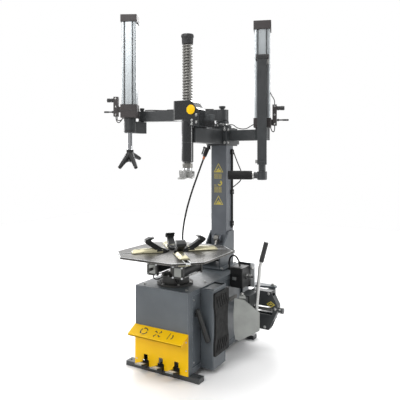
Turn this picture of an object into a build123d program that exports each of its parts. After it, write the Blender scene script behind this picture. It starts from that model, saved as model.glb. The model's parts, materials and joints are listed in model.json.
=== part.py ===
from build123d import *

import os
from math import cos, pi, radians, sin, tan

# Swing-shaft tyre changer with a tilting column, two helper arms and a side bead breaker.
# Frame: millimetres, +Z up, origin on the floor below the middle of the cabinet.
# +X is the machine's right side as the operator stands at the pedals, +Y is the back.

# ---------------------------------------------------------------- driving dimensions
CABINET_WIDTH = 380
CABINET_LENGTH = 816
CABINET_BOTTOM = 28
CABINET_TOP = 503
SHEET = 3

RAIL_LENGTH = 520
RAIL_WIDTH = 57
ANCHOR_X = 240
ANCHOR_Y = 380
ANCHOR_RADIUS = 7

TABLE_Y = -255
TABLE_TOP = 700
TABLE_THICKNESS = 12
TABLE_HALF = 310
TABLE_CLIP = 131
JAW_WIDTH = 57
JAW_SLOT = 26

PEDAL_X = (-109, 0, 109)
PEDAL_AXLE_Y = -290
PEDAL_AXLE_Z = 66

COLUMN_HALF = 62
COLUMN_Y = (319, 435)
COLUMN_Z = (540, 1362)
TILT_Y = 377
TILT_Z = 600
HEAD_Z = (1362, 1490)

ARM_HALF = 50
ARM_Z = (1375, 1475)
ARM_Y = (-90, 560)
SHAFT_Y = -109
SHAFT_RADIUS = 22
SLEEVE_RADIUS = 38
HOUSING_TOP = 1641
SPRING_RADIUS = 34
SPRING_WIRE = 5.4
SPRING_TURNS = 19
SPRING_TOP = 2006
CAP_TOP = 2073

AIR_UNIT_TOP = 548
GUN_HOSE_RADIUS = 6.5
AIR_HOSE_RADIUS = 6

LEFT_ELBOW = (-589, 191)
LEFT_AXIS = (-600, 58)
LEFT_ARM_Z = (1548, 1625)
LEFT_LINK_Z = (1458, 1544)
LEFT_BLOCK_Z = (1568, 1664)
LEFT_PROFILE_TOP = 2265
RIGHT_AXIS = (326, 355)
RIGHT_ARM_Z = (1397, 1473)
RIGHT_PROFILE_Z = (1547, 2155)
LEFT_TURN = 27.6
RIGHT_TURN = 20.5
PROFILE = 106
BORE_RADIUS = 40
CAP = 120
GROOVE = (12, 14)
POST = (326, 262)
ROLLER_Z = 1158
SWIVEL_Z = 1184

BREAKER_HINGE = (395, 372)
ROD_Y = 228
ROD_Z = 275
BLADE_PIN = (327, 15)
BLADE_TURN = 33.5

RUNNING_FIT = 0.05
GAP = 0.5

os.makedirs("parts", exist_ok=True)


# ---------------------------------------------------------------- helpers
def save(piece, name):
    """Label a finished sub-part and write its STEP file."""
    piece.part.label = name
    export_step(piece.part, f"parts/{name}.step")


def block(x, y, z, mode=Mode.ADD):
    """A rectangular block between the low and high limits on each axis."""
    with Locations(((x[0] + x[1]) / 2, (y[0] + y[1]) / 2, (z[0] + z[1]) / 2)):
        Box(x[1] - x[0], y[1] - y[0], z[1] - z[0], mode=mode)


def rod(start, end, radius, mode=Mode.ADD, end_radius=None):
    """A round bar between two points, tapered when an end radius is given."""
    axis = Vector(*end) - Vector(*start)
    with BuildSketch(Plane(origin=start, z_dir=axis)) as section:
        Circle(radius)
    if end_radius is None:
        extrude(section.sketch, amount=axis.length, mode=mode)
    else:
        with BuildSketch(Plane(origin=end, z_dir=axis)) as tip:
            Circle(end_radius)
        loft([section.sketch, tip.sketch], mode=mode)


def plate(plane, outline, thickness, mode=Mode.ADD):
    """A flat plate with a straight-sided outline, raised from a plane."""
    with BuildSketch(plane) as section:
        with BuildLine():
            Polyline(*outline, close=True)
        make_face()
    extrude(section.sketch, amount=thickness, mode=mode)


def beam(start, end, width, z, mode=Mode.ADD, overhang=0):
    """A level rectangular beam between two points in plan, with square ends."""
    along = Vector(end[0] - start[0], end[1] - start[1])
    plane = Plane(origin=(start[0], start[1], z[0]), x_dir=(along.X, along.Y, 0), z_dir=(0, 0, 1))
    low = -overhang
    high = along.length + overhang
    half = width / 2
    plate(plane, [(low, -half), (high, -half), (high, half), (low, half)], z[1] - z[0], mode)


def hose(points, radius, name):
    """A round hose along straight runs joined by the largest arcs that fit."""
    stops = [Vector(*p) for p in points]
    runs = [b - a for a, b in zip(stops, stops[1:])]
    bends = []
    for before, after in zip(runs, runs[1:]):
        half_turn = radians(before.get_angle(after) / 2)
        bends.append(0.45 * min(before.length, after.length) / tan(half_turn))
    print(name, "bend radii", [round(bend) for bend in bends])
    with BuildPart() as tube:
        with BuildLine() as route:
            FilletPolyline(*points, radius=bends)
        with BuildSketch(Plane(origin=points[0], z_dir=runs[0])):
            Circle(radius)
        sweep(path=route.line)
    length = sum(edge.length for edge in route.edges())
    ratio = tube.part.volume / (pi * radius**2 * length)
    print(name, "length", round(length), "volume ratio", round(ratio, 4))
    save(tube, name)


def turned(piece, pivot, turn):
    """A copy of a sub-part, turned about an upright axis through a point in plan."""
    with BuildPart() as copy:
        add(piece.part.rotate(Axis((*pivot, 0), (0, 0, 1)), turn))
    return copy


def profile(centre, z):
    """A grooved square extrusion with a round bore, standing on end."""
    with BuildPart() as tube:
        with BuildSketch(Plane.XY.offset(z[0])):
            with Locations(centre):
                Rectangle(PROFILE, PROFILE)
                fillet(vertices(), 10)
                Circle(BORE_RADIUS, mode=Mode.SUBTRACT)
                for side in (-30, 30):
                    with PolarLocations(PROFILE / 2, 4):
                        with Locations((0, side)):
                            Rectangle(*GROOVE, mode=Mode.SUBTRACT)
        extrude(amount=z[1] - z[0])
    return tube


# ---------------------------------------------------------------- cabinet
half_width = CABINET_WIDTH / 2
half_length = CABINET_LENGTH / 2

with BuildPart() as foot_rails:
    for end in (-1, 1):
        inner = end * (half_length - RAIL_WIDTH)
        outer = end * half_length
        low, high = min(inner, outer), max(inner, outer)
        block((-RAIL_LENGTH / 2, RAIL_LENGTH / 2), (low, high), (0, CABINET_BOTTOM))
        block((-ANCHOR_X + 25, ANCHOR_X - 25), (low + 4, high - 4), (0, CABINET_BOTTOM - 4), Mode.SUBTRACT)
        for side in (-1, 1):
            rod((side * ANCHOR_X, end * ANCHOR_Y, 0), (side * ANCHOR_X, end * ANCHOR_Y, 40), ANCHOR_RADIUS,
                Mode.SUBTRACT)
save(foot_rails, "foot_rails")

PANEL_Y = half_length - 45
PANEL_Z = (CABINET_BOTTOM + 30, CABINET_TOP - 28)
with BuildPart() as cabinet_shell:
    block((-half_width, half_width), (-half_length, half_length), (CABINET_BOTTOM, CABINET_TOP))
    fillet(cabinet_shell.edges().filter_by(Axis.Z), 5)
    inside = half_width - SHEET
    block((-inside, inside), (SHEET - half_length, half_length - SHEET), (0, CABINET_TOP - SHEET), Mode.SUBTRACT)
    block((-300, 300), (-PANEL_Y, PANEL_Y), PANEL_Z, Mode.SUBTRACT)
    rod((0, TABLE_Y, CABINET_TOP - 10), (0, TABLE_Y, CABINET_TOP + 10), 62, Mode.SUBTRACT)
    for x in PEDAL_X:
        block((x - 27, x + 27), (-half_length - 5, -half_length + 5), (CABINET_BOTTOM, 100), Mode.SUBTRACT)
save(cabinet_shell, "cabinet_shell")

with BuildPart() as side_panels:
    for side in (-1, 1):
        face = side * (half_width - SHEET)
        back = side * (half_width - 2 * SHEET)
        block((min(face, back), max(face, back)), (-PANEL_Y - 15, PANEL_Y + 15),
              (PANEL_Z[0] - 15, PANEL_Z[1] + 15))
    rod((half_width - 10, ROD_Y, ROD_Z), (half_width, ROD_Y, ROD_Z), 34, Mode.SUBTRACT)
    with BuildSketch(Plane.YZ.offset(half_width - 10)):
        with Locations((172, 331)):
            SlotOverall(115, 22)
    extrude(amount=10, mode=Mode.SUBTRACT)
save(side_panels, "side_panels")

VISOR_Y = -481
COVER_FACE = -half_length - 2.5
with BuildPart() as pedal_cover:
    with BuildSketch(Plane.YZ.offset(-half_width + 1)):
        with BuildLine():
            Polyline((-half_length, CABINET_BOTTOM), (COVER_FACE, CABINET_BOTTOM), (COVER_FACE, 264),
                     (VISOR_Y + 4, 228), (VISOR_Y + 4, 220), (VISOR_Y, 220), (VISOR_Y, 231),
                     (COVER_FACE - 1, 268), (-half_length, 268), close=True)
        make_face()
    extrude(amount=CABINET_WIDTH - 2)
    for x in PEDAL_X:
        block((x - 14.5, x + 14.5), (-430, -400), (60, 97), Mode.SUBTRACT)
        block((x - 23, x + 23), (-430, -400), (20, 65), Mode.SUBTRACT)
save(pedal_cover, "pedal_cover")

with BuildPart() as buffer_box:
    block((half_width, 274), (-266, -103), (CABINET_BOTTOM, 495))
    fillet(buffer_box.edges().filter_by(Axis.Z).sort_by(Axis.X)[-2:], 8)
    block((half_width + 4, 270), (-262, -107), (CABINET_BOTTOM, 491), Mode.SUBTRACT)
save(buffer_box, "buffer_box")

with BuildPart() as buffer_pad:
    with BuildSketch(Plane.YZ.offset(274)):
        with BuildLine():
            Polyline((-266, 477), (-86, 477), (-86, 400), (-100, 345), (-100, 235), (-86, 180), (-86, 107),
                     (-266, 107), (-266, 180), (-252, 235), (-252, 345), (-266, 400), close=True)
        make_face()
        fillet(vertices(), 8)
    extrude(amount=12)
    for low, high, lean in ((372, 470, 22), (114, 212, -22)):
        with BuildSketch(Plane.YZ.offset(284)):
            with Locations(*[(-176 + step, (low + high) / 2) for step in (-56, -28, 0, 28, 56)]):
                Rectangle(9, 72, rotation=lean)
        extrude(amount=6)
save(buffer_pad, "buffer_pad")

with BuildPart() as tyre_lever:
    rod((207, -332, 386), (243, -282, 205), 13, end_radius=16)
    with Locations((207, -332, 386)):
        Sphere(13)
    with Locations((243, -282, 205)):
        Sphere(16)
    block((half_width, 204), (-338, -322), (352, 368))
save(tyre_lever, "tyre_lever")

# ---------------------------------------------------------------- drive inside the cabinet
WORM = (75, 396)
MOTOR = (-70, 180)
PULLEY_Y = (-100, -82)
WORM_PULLEY = 84
MOTOR_PULLEY = 34

with BuildPart() as gearbox:
    rod((0, TABLE_Y, 300), (0, TABLE_Y, CABINET_TOP - SHEET), 100)
    rod((WORM[0], -345, WORM[1]), (WORM[0], -140, WORM[1]), 46)
    rod((0, TABLE_Y, 300), (0, TABLE_Y, CABINET_TOP + 12), 60)
    rod((0, TABLE_Y, CABINET_TOP), (0, TABLE_Y, CABINET_TOP + 12), 112)
    rod((0, TABLE_Y, 320), (0, TABLE_Y, 560), 30 + RUNNING_FIT, Mode.SUBTRACT)
    rod((WORM[0], -160, WORM[1]), (WORM[0], -120, WORM[1]), 12 + RUNNING_FIT, Mode.SUBTRACT)
save(gearbox, "gearbox")

with BuildPart() as drive_motor:
    rod((MOTOR[0], -60, MOTOR[1]), (MOTOR[0], 105, MOTOR[1]), 68)
    rod((MOTOR[0], -68, MOTOR[1]), (MOTOR[0], 112, MOTOR[1]), 58)
    block((MOTOR[0] - 60, MOTOR[0] + 60), (-40, 90), (CABINET_BOTTOM + 60, MOTOR[1] - 40))
    block((-half_width + 2 * SHEET, MOTOR[0] + 70), (-40, 90), (CABINET_BOTTOM + 50, CABINET_BOTTOM + 60))
    rod((MOTOR[0], -75, MOTOR[1]), (MOTOR[0], -40, MOTOR[1]), 9 + RUNNING_FIT, Mode.SUBTRACT)
save(drive_motor, "drive_motor")

with BuildPart() as worm_pulley:
    rod((WORM[0], PULLEY_Y[0], WORM[1]), (WORM[0], PULLEY_Y[1], WORM[1]), WORM_PULLEY)
    rod((WORM[0], PULLEY_Y[0] - 6, WORM[1]), (WORM[0], PULLEY_Y[1] + 4, WORM[1]), 24)
    rod((WORM[0], -158, WORM[1]), (WORM[0], PULLEY_Y[1] + 10, WORM[1]), 12)
save(worm_pulley, "worm_pulley")

with BuildPart() as motor_pulley:
    rod((MOTOR[0], PULLEY_Y[0], MOTOR[1]), (MOTOR[0], PULLEY_Y[1], MOTOR[1]), MOTOR_PULLEY)
    rod((MOTOR[0], PULLEY_Y[0] - 6, MOTOR[1]), (MOTOR[0], -42, MOTOR[1]), 9)
save(motor_pulley, "motor_pulley")

BELT = 6
with BuildPart() as drive_belt:
    belt_plane = Plane(origin=(0, PULLEY_Y[0] + 2, 0), x_dir=(1, 0, 0), z_dir=(0, -1, 0))
    for grow, mode in ((BELT + GAP, Mode.ADD), (GAP, Mode.SUBTRACT)):
        with BuildSketch(belt_plane) as loop:
            with Locations(WORM):
                Circle(WORM_PULLEY + grow)
            with Locations(MOTOR):
                Circle(MOTOR_PULLEY + grow)
            make_hull()
        extrude(loop.sketch, amount=-14, mode=mode)
save(drive_belt, "drive_belt")

with BuildPart() as pivot_pins:
    rod((-half_width + 10, PEDAL_AXLE_Y, PEDAL_AXLE_Z), (half_width - 10, PEDAL_AXLE_Y, PEDAL_AXLE_Z), 7)
    rod((-92, TILT_Y, TILT_Z), (92, TILT_Y, TILT_Z), 14)
    rod((*BREAKER_HINGE, 170), (*BREAKER_HINGE, 402), 14)
save(pivot_pins, "pivot_pins")

# ---------------------------------------------------------------- pedals
for x, name in zip(PEDAL_X, ("turn_pedal", "clamp_pedal", "breaker_pedal")):
    with BuildPart() as pedal:
        rod((x - 18, PEDAL_AXLE_Y, PEDAL_AXLE_Z), (x + 18, PEDAL_AXLE_Y, PEDAL_AXLE_Z), 15)
        block((x - 19, x + 19), (-440, PEDAL_AXLE_Y), (47, 54))
        plate(Plane.YZ.offset(x - 24),
              [(-440, 47), (-424, 47), (-424, 54), (-438, 54), (-486, 66), (-487, 61)], 48)
        rod((x - 30, PEDAL_AXLE_Y, PEDAL_AXLE_Z), (x + 30, PEDAL_AXLE_Y, PEDAL_AXLE_Z), 7 + RUNNING_FIT,
            Mode.SUBTRACT)
    save(pedal, name)

# ---------------------------------------------------------------- turntable
with BuildPart() as turntable_plate:
    with BuildSketch(Plane.XY.offset(TABLE_TOP - TABLE_THICKNESS)):
        with Locations((0, TABLE_Y)):
            Rectangle(2 * TABLE_HALF, 2 * TABLE_HALF)
            chamfer(vertices(), TABLE_CLIP)
            with PolarLocations(210, 4, start_angle=45):
                Rectangle(280, JAW_SLOT, mode=Mode.SUBTRACT)
    extrude(amount=TABLE_THICKNESS)
save(turntable_plate, "turntable_plate")

with BuildPart() as turntable_shaft:
    rod((0, TABLE_Y, 325), (0, TABLE_Y, TABLE_TOP - TABLE_THICKNESS), 30)
    rod((0, TABLE_Y, CABINET_TOP + 14), (0, TABLE_Y, 560), 84)
    rod((0, TABLE_Y, 668), (0, TABLE_Y, TABLE_TOP - TABLE_THICKNESS), 66)
save(turntable_shaft, "turntable_shaft")

with BuildPart() as clamp_drive:
    for side in (-1, 1):
        x = side * 92
        rod((x, TABLE_Y - 110, 602), (x, TABLE_Y + 110, 602), 34)
        for end in (-1, 1):
            y = TABLE_Y + end * 106
            block((x - 38, x + 38), (y - 9, y + 9), (564, 642))
        rod((x, TABLE_Y + side * 110, 602), (x, TABLE_Y + side * 146, 602), 9)
    with BuildSketch(Plane.XY.offset(642)):
        with Locations((0, TABLE_Y)):
            Rectangle(240, 240, rotation=45)
            chamfer(vertices(), 30)
            Circle(31, mode=Mode.SUBTRACT)
            with PolarLocations(118, 4, start_angle=0):
                Circle(11, mode=Mode.SUBTRACT)
            with PolarLocations(70, 4, start_angle=45):
                Circle(14, mode=Mode.SUBTRACT)
    extrude(amount=10)
save(clamp_drive, "clamp_drive")

for number in range(4):
    turn = 45 + 90 * number
    along = Vector(cos(radians(turn)), sin(radians(turn)))
    side_plane = Plane(origin=(0, TABLE_Y, 0), x_dir=(along.X, along.Y, 0), z_dir=(along.Y, -along.X, 0))
    with BuildPart() as jaw:
        plate(side_plane.offset(-30), [(80, TABLE_TOP + GAP), (254, TABLE_TOP + GAP), (268, TABLE_TOP + 9),
                                       (254, TABLE_TOP + 22), (80, TABLE_TOP + 30)], 60)
        chamfer(jaw.edges().group_by(Axis.Z)[-1].filter_by(GeomType.LINE).sort_by(SortBy.LENGTH)[-2:], 12)
        plate(side_plane.offset(-JAW_WIDTH / 2),
              [(35, TABLE_TOP + GAP), (126, TABLE_TOP + GAP), (176, TABLE_TOP + 52), (190, TABLE_TOP + 60),
               (190, TABLE_TOP + 78), (156, TABLE_TOP + 93), (132, TABLE_TOP + 93), (152, TABLE_TOP + 76),
               (100, TABLE_TOP + 34), (35, TABLE_TOP + 12)], JAW_WIDTH)
        foot_plane = Plane(origin=(0, TABLE_Y, TABLE_TOP), x_dir=(along.X, along.Y, 0), z_dir=(0, 0, 1))
        for flank in (-1, 1):
            plate(foot_plane, [(34, flank * 30), (34, flank * 3), (60, flank * 29), (60, flank * 30)], 30,
                  Mode.SUBTRACT)
        plate(side_plane.offset(-JAW_SLOT / 2 + GAP),
              [(110, 660), (250, 660), (250, TABLE_TOP + 4), (110, TABLE_TOP + 4)], JAW_SLOT - 2 * GAP)
        plate(side_plane.offset(-34), [(110, 660), (250, 660), (250, 687), (110, 687)], 68)
    save(jaw, f"jaw_{number + 1}")

# ---------------------------------------------------------------- column base and tilt drive
with BuildPart() as column_base:
    block((-115, 115), (160, 408), (CABINET_TOP, CABINET_TOP + 12))
    for side in (-1, 1):
        inner = side * 66
        plate(Plane.YZ.offset(min(inner, inner + side * 10)),
              [(196, 515), (404, 515), (418, 600), (418, 747), (336, 747), (200, 590)], 10)
    rod((-120, TILT_Y, TILT_Z), (120, TILT_Y, TILT_Z), 14, Mode.SUBTRACT)
save(column_base, "column_base")

TILT_BASE = (228, 560)
TILT_LUG = (296, 700)
tilt_run = Vector(0, TILT_LUG[0] - TILT_BASE[0], TILT_LUG[1] - TILT_BASE[1])
tilt_way = tilt_run.normalized()


def on_tilt_axis(distance):
    """A point on the tilt cylinder's axis, measured from its lower pivot."""
    return (0, TILT_BASE[0] + tilt_way.Y * distance, TILT_BASE[1] + tilt_way.Z * distance)


with BuildPart() as tilt_cylinder:
    rod(on_tilt_axis(0), on_tilt_axis(96), 31)
    rod((-65.4, *TILT_BASE), (65.4, *TILT_BASE), 10)
    rod(on_tilt_axis(-10), on_tilt_axis(120), 9 + RUNNING_FIT, Mode.SUBTRACT)
save(tilt_cylinder, "tilt_cylinder")

with BuildPart() as tilt_rod:
    rod(on_tilt_axis(10), on_tilt_axis(138), 9)
    rod((-17, *TILT_LUG), (17, *TILT_LUG), 21)
    rod((-20, *TILT_LUG), (20, *TILT_LUG), 13, Mode.SUBTRACT)
save(tilt_rod, "tilt_rod")

# ---------------------------------------------------------------- column and head
with BuildPart() as column_tube:
    block((-COLUMN_HALF, COLUMN_HALF), COLUMN_Y, COLUMN_Z)
    fillet(column_tube.edges().filter_by(Axis.Z), 7)
    wall = 8
    block((wall - COLUMN_HALF, COLUMN_HALF - wall), (COLUMN_Y[0] + wall, COLUMN_Y[1] - wall),
          (COLUMN_Z[0] - 1, COLUMN_Z[1] - 8), Mode.SUBTRACT)
    for side in (-1, 1):
        x = side * 27
        plate(Plane.YZ.offset(x - 5), [(322, 672), (322, 728), (290, 718), (279, 700), (290, 682)], 10)
    rod((-30, *TILT_LUG), (30, *TILT_LUG), 9.5)
    rod((-70, TILT_Y, TILT_Z), (70, TILT_Y, TILT_Z), 14 + RUNNING_FIT, Mode.SUBTRACT)
save(column_tube, "column_tube")

with BuildPart() as column_head:
    block((-80, 80), (285, 470), HEAD_Z)
    fillet(column_head.edges().filter_by(Axis.Z), 6)
    slack = ARM_HALF + GAP
    block((-slack, slack), (200, 600), (ARM_Z[0] - GAP, ARM_Z[1] + GAP), Mode.SUBTRACT)
    block((80, RIGHT_AXIS[0]), (TILT_Y - 38, TILT_Y + 38), RIGHT_ARM_Z)
    rod((RIGHT_AXIS[0], RIGHT_AXIS[1], RIGHT_ARM_Z[0]), (RIGHT_AXIS[0], RIGHT_AXIS[1], RIGHT_ARM_Z[1] + 12), 50)
    rod((0, TILT_Y, HEAD_Z[1]), (0, TILT_Y, 1546), 46)
    rod((0, TILT_Y, 1546), (0, TILT_Y, 1640), 15)
    rod((0, TILT_Y, 1640), (0, TILT_Y, 1652), 24)
save(column_head, "column_head")

# ---------------------------------------------------------------- right helper
save(turned(profile(RIGHT_AXIS, RIGHT_PROFILE_Z), RIGHT_AXIS, RIGHT_TURN), "right_cylinder")

half_cap = CAP / 2
GUIDE_FRONT = PROFILE / 2 + 13
with BuildPart() as right_cylinder_ends:
    x, y = RIGHT_AXIS
    block((x - half_cap, x + half_cap), (y - half_cap, y + half_cap), (RIGHT_ARM_Z[1] + 12, RIGHT_PROFILE_Z[0]))
    block((x - half_cap, x + half_cap), (y - half_cap, y + half_cap), (RIGHT_PROFILE_Z[1], RIGHT_PROFILE_Z[1] + 58))
    fillet(right_cylinder_ends.edges().filter_by(Axis.Z), 6)
    block((x + half_cap, x + 68), (y - 16, y + 16), (1500, 1540))
    block((x + 68, x + 98), (y - 18, y + 18), (1497, 1642))
    rod((x + 98, y, 1618), (x + 148, y, 1618), 13)
    for z in (1500, 1940):
        block((x - 44, x + 44), (y - GUIDE_FRONT, y - PROFILE / 2), (z, z + 40))
save(turned(right_cylinder_ends, RIGHT_AXIS, RIGHT_TURN), "right_cylinder_ends")

LEVER_EYE = 8
with BuildPart() as right_lever:
    pivot_x = RIGHT_AXIS[0] + 98 + GAP + LEVER_EYE
    rod((pivot_x, RIGHT_AXIS[1] - 9, 1536), (pivot_x, RIGHT_AXIS[1] + 9, 1536), LEVER_EYE)
    rod((pivot_x, RIGHT_AXIS[1], 1536), (pivot_x + 72, RIGHT_AXIS[1], 1536), 5)
save(turned(right_lever, RIGHT_AXIS, RIGHT_TURN), "right_lever")

with BuildPart() as right_post:
    x, y = POST
    block((x - 31, x + 31), (y - 22, y + 22), (1230, 1950))
    block((x - 20, x + 20), (y + 22, RIGHT_AXIS[1] - GUIDE_FRONT - GAP), (1300, 1900))
    rod((x, y, SWIVEL_Z), (x, y, 1230), 24)
    rod((x, y, 1230), (x, y, 1252), 30)
    block((x - 34, x + 34), (y - 25, y + 25), (1950, 1962))
save(turned(right_post, RIGHT_AXIS, RIGHT_TURN), "right_post")

with BuildPart() as roller_arm:
    x, y = POST
    rod((x, y, ROLLER_Z - 26), (x, y, SWIVEL_Z - GAP), 33)
    rod((x, y, ROLLER_Z), (x - 66, y, ROLLER_Z), 22.5)
    rod((x - 60, y, ROLLER_Z), (x - 226, y, ROLLER_Z), 12)
save(turned(roller_arm, RIGHT_AXIS, RIGHT_TURN), "roller_arm")

with BuildPart() as tyre_roller:
    rod((x - 66 - GAP, y, ROLLER_Z), (x - 231, y, ROLLER_Z), 30)
    fillet(tyre_roller.edges().filter_by(GeomType.CIRCLE), 5)
    rod((x - 60, y, ROLLER_Z), (x - 226.5, y, ROLLER_Z), 12 + RUNNING_FIT, Mode.SUBTRACT)
save(turned(tyre_roller, RIGHT_AXIS, RIGHT_TURN), "tyre_roller")

# ---------------------------------------------------------------- sliding arm and mounting shaft
with BuildPart() as main_arm:
    block((-ARM_HALF, ARM_HALF), ARM_Y, ARM_Z)
    fillet(main_arm.edges().filter_by(Axis.Y), 6)
    block((7 - ARM_HALF, ARM_HALF - 7), (ARM_Y[0] + 10, ARM_Y[1] + 1), (ARM_Z[0] + 7, ARM_Z[1] - 7),
          Mode.SUBTRACT)
    rod((0, SHAFT_Y, ARM_Z[0] - 5), (0, SHAFT_Y, ARM_Z[1] + 5), SLEEVE_RADIUS, Mode.SUBTRACT)
save(main_arm, "main_arm")

with BuildPart() as shaft_housing:
    with BuildSketch(Plane.XZ.offset(155)):
        with BuildLine():
            Polyline((-86, 1518), (-86, HOUSING_TOP), (40, HOUSING_TOP), (66, 1628), (90, 1592), (108, 1580),
                     (108, ARM_Z[1]), (40, ARM_Z[1]), (34, 1502), (0, 1518), close=True)
        make_face()
    extrude(amount=-92)
    fillet(shaft_housing.edges().filter_by(Axis.Z).sort_by(Axis.X)[:2], 20)
    block((ARM_HALF - 14, 108), (-90, 60), (ARM_Z[1], 1560))
    rod((0, SHAFT_Y, 1252), (0, SHAFT_Y, 1560), SLEEVE_RADIUS)
    rod((0, SHAFT_Y, 1244), (0, SHAFT_Y, 1252), 31, end_radius=SLEEVE_RADIUS)
    rod((0, SHAFT_Y, 1200), (0, SHAFT_Y, 1700), SHAFT_RADIUS + RUNNING_FIT, Mode.SUBTRACT)
    rod((58, -155, 1580), (58, -159, 1580), 27)
save(shaft_housing, "shaft_housing")

with BuildPart() as mount_shaft:
    rod((0, SHAFT_Y, 1170), (0, SHAFT_Y, SPRING_TOP + 10), SHAFT_RADIUS)
    rod((0, SHAFT_Y, 1212), (0, SHAFT_Y, 1240), 33)
save(mount_shaft, "mount_shaft")

DOME_RISE = 10
dome_radius = (42**2 + DOME_RISE**2) / (2 * DOME_RISE)
dome_middle = (21, CAP_TOP - dome_radius + (dome_radius**2 - 21**2) ** 0.5)
with BuildPart() as shaft_cap:
    with BuildSketch(Plane.XZ.offset(-SHAFT_Y)):
        with BuildLine():
            Polyline((0, SPRING_TOP + 10), (23, SPRING_TOP + 10), (23, SPRING_TOP), (36, SPRING_TOP),
                     (36, CAP_TOP - 22), (42, CAP_TOP - 18), (42, CAP_TOP - DOME_RISE))
            ThreePointArc((42, CAP_TOP - DOME_RISE), dome_middle, (0, CAP_TOP))
            Line((0, CAP_TOP), (0, SPRING_TOP + 10))
        make_face()
    revolve(axis=Axis((0, SHAFT_Y, 0), (0, 0, 1)))
save(shaft_cap, "shaft_cap")

coil_low = HOUSING_TOP + SPRING_WIRE + 0.4
coil_high = SPRING_TOP - SPRING_WIRE - 0.4
coil_radius = SPRING_RADIUS - SPRING_WIRE
with BuildPart() as return_spring:
    with BuildLine(Plane(origin=(0, SHAFT_Y, coil_low))) as coil:
        Helix(pitch=(coil_high - coil_low) / SPRING_TURNS, height=coil_high - coil_low, radius=coil_radius)
    with BuildSketch(Plane(origin=coil.line @ 0, z_dir=coil.line % 0)):
        Circle(SPRING_WIRE)
    sweep(path=coil.line, is_frenet=True)
save(return_spring, "return_spring")

with BuildPart() as mount_head:
    rod((0, SHAFT_Y, 1168), (0, SHAFT_Y, 1212), 29)
    block((-24, 24), (SHAFT_Y - 62, SHAFT_Y + 20), (1168, 1196))
    rod((0, SHAFT_Y, 1100), (0, SHAFT_Y, 1213), SHAFT_RADIUS, Mode.SUBTRACT)
    plate(Plane.YZ.offset(-22), [(SHAFT_Y - 62, 1196), (SHAFT_Y - 62, 1158), (SHAFT_Y - 84, 1146),
                                 (SHAFT_Y - 80, 1140), (SHAFT_Y - 30, 1148), (SHAFT_Y + 26, 1140),
                                 (SHAFT_Y + 30, 1147), (SHAFT_Y - 6, 1168), (SHAFT_Y - 30, 1168),
                                 (SHAFT_Y - 30, 1196)], 44)
    for y in (SHAFT_Y - 40, SHAFT_Y - 8):
        block((SHAFT_RADIUS + 1, 54), (y, y + 6), (1150, 1190))
save(mount_head, "mount_head")

with BuildPart() as head_roller:
    rod((45, SHAFT_Y - 34 + GAP, 1162), (45, SHAFT_Y - 8 - GAP, 1162), 13)
save(head_roller, "head_roller")

# ---------------------------------------------------------------- left helper
with BuildPart() as left_arm:
    beam((0, TILT_Y), LEFT_ELBOW, 70, LEFT_ARM_Z)
    rod((0, TILT_Y, 1547), (0, TILT_Y, 1625), 46)
    rod((*LEFT_ELBOW, LEFT_ARM_Z[0]), (*LEFT_ELBOW, LEFT_ARM_Z[1]), 30)
    rod((0, TILT_Y, 1500), (0, TILT_Y, 1700), 15 + RUNNING_FIT, Mode.SUBTRACT)
    rod((*LEFT_ELBOW, 1500), (*LEFT_ELBOW, 1700), 12 + RUNNING_FIT, Mode.SUBTRACT)
save(left_arm, "left_arm")

with BuildPart() as left_link:
    beam(LEFT_ELBOW, LEFT_AXIS, 56, LEFT_LINK_Z, overhang=20)
    rod((*LEFT_ELBOW, LEFT_LINK_Z[1]), (*LEFT_ELBOW, 1632), 12)
    rod((*LEFT_ELBOW, 1632), (*LEFT_ELBOW, 1650), 18)
    rod((*LEFT_AXIS, LEFT_LINK_Z[0]), (*LEFT_AXIS, LEFT_BLOCK_Z[0]), 44)
    rod((*LEFT_AXIS, 1400), (*LEFT_AXIS, 1700), 19 + RUNNING_FIT, Mode.SUBTRACT)
save(left_link, "left_link")

save(turned(profile(LEFT_AXIS, (LEFT_BLOCK_Z[1], LEFT_PROFILE_TOP)), LEFT_AXIS, LEFT_TURN), "left_cylinder")

with BuildPart() as left_cylinder_ends:
    x, y = LEFT_AXIS
    block((x - half_cap, x + half_cap), (y - half_cap, y + half_cap), LEFT_BLOCK_Z)
    block((x - half_cap, x + half_cap), (y - half_cap, y + half_cap), (LEFT_PROFILE_TOP, LEFT_PROFILE_TOP + 51))
    fillet(left_cylinder_ends.edges().filter_by(Axis.Z), 6)
    block((x - 84, x - half_cap), (y - 18, y + 12), (1610, 1650))
    block((x - 118, x - 84), (y - 22, y + 16), (1579, 1723))
    rod((x - 118, y - 3, 1698), (x - 166, y - 3, 1698), 13)
    rod((x, y, 1500), (x, y, 1700), 19 + RUNNING_FIT, Mode.SUBTRACT)
save(turned(left_cylinder_ends, LEFT_AXIS, LEFT_TURN), "left_cylinder_ends")

with BuildPart() as left_lever:
    pivot_x = LEFT_AXIS[0] - 118 - GAP - LEVER_EYE
    pivot_y = LEFT_AXIS[1] - 3
    rod((pivot_x, pivot_y - 9, 1612), (pivot_x, pivot_y + 9, 1612), LEVER_EYE)
    rod((pivot_x, pivot_y, 1612), (pivot_x - 64, pivot_y, 1612), 5)
save(turned(left_lever, LEFT_AXIS, LEFT_TURN), "left_lever")

with BuildPart() as left_rod:
    rod((*LEFT_AXIS, 1322), (*LEFT_AXIS, 2200), 19)
    rod((*LEFT_AXIS, 2200), (*LEFT_AXIS, 2230), BORE_RADIUS - RUNNING_FIT)
save(left_rod, "left_rod")

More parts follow.
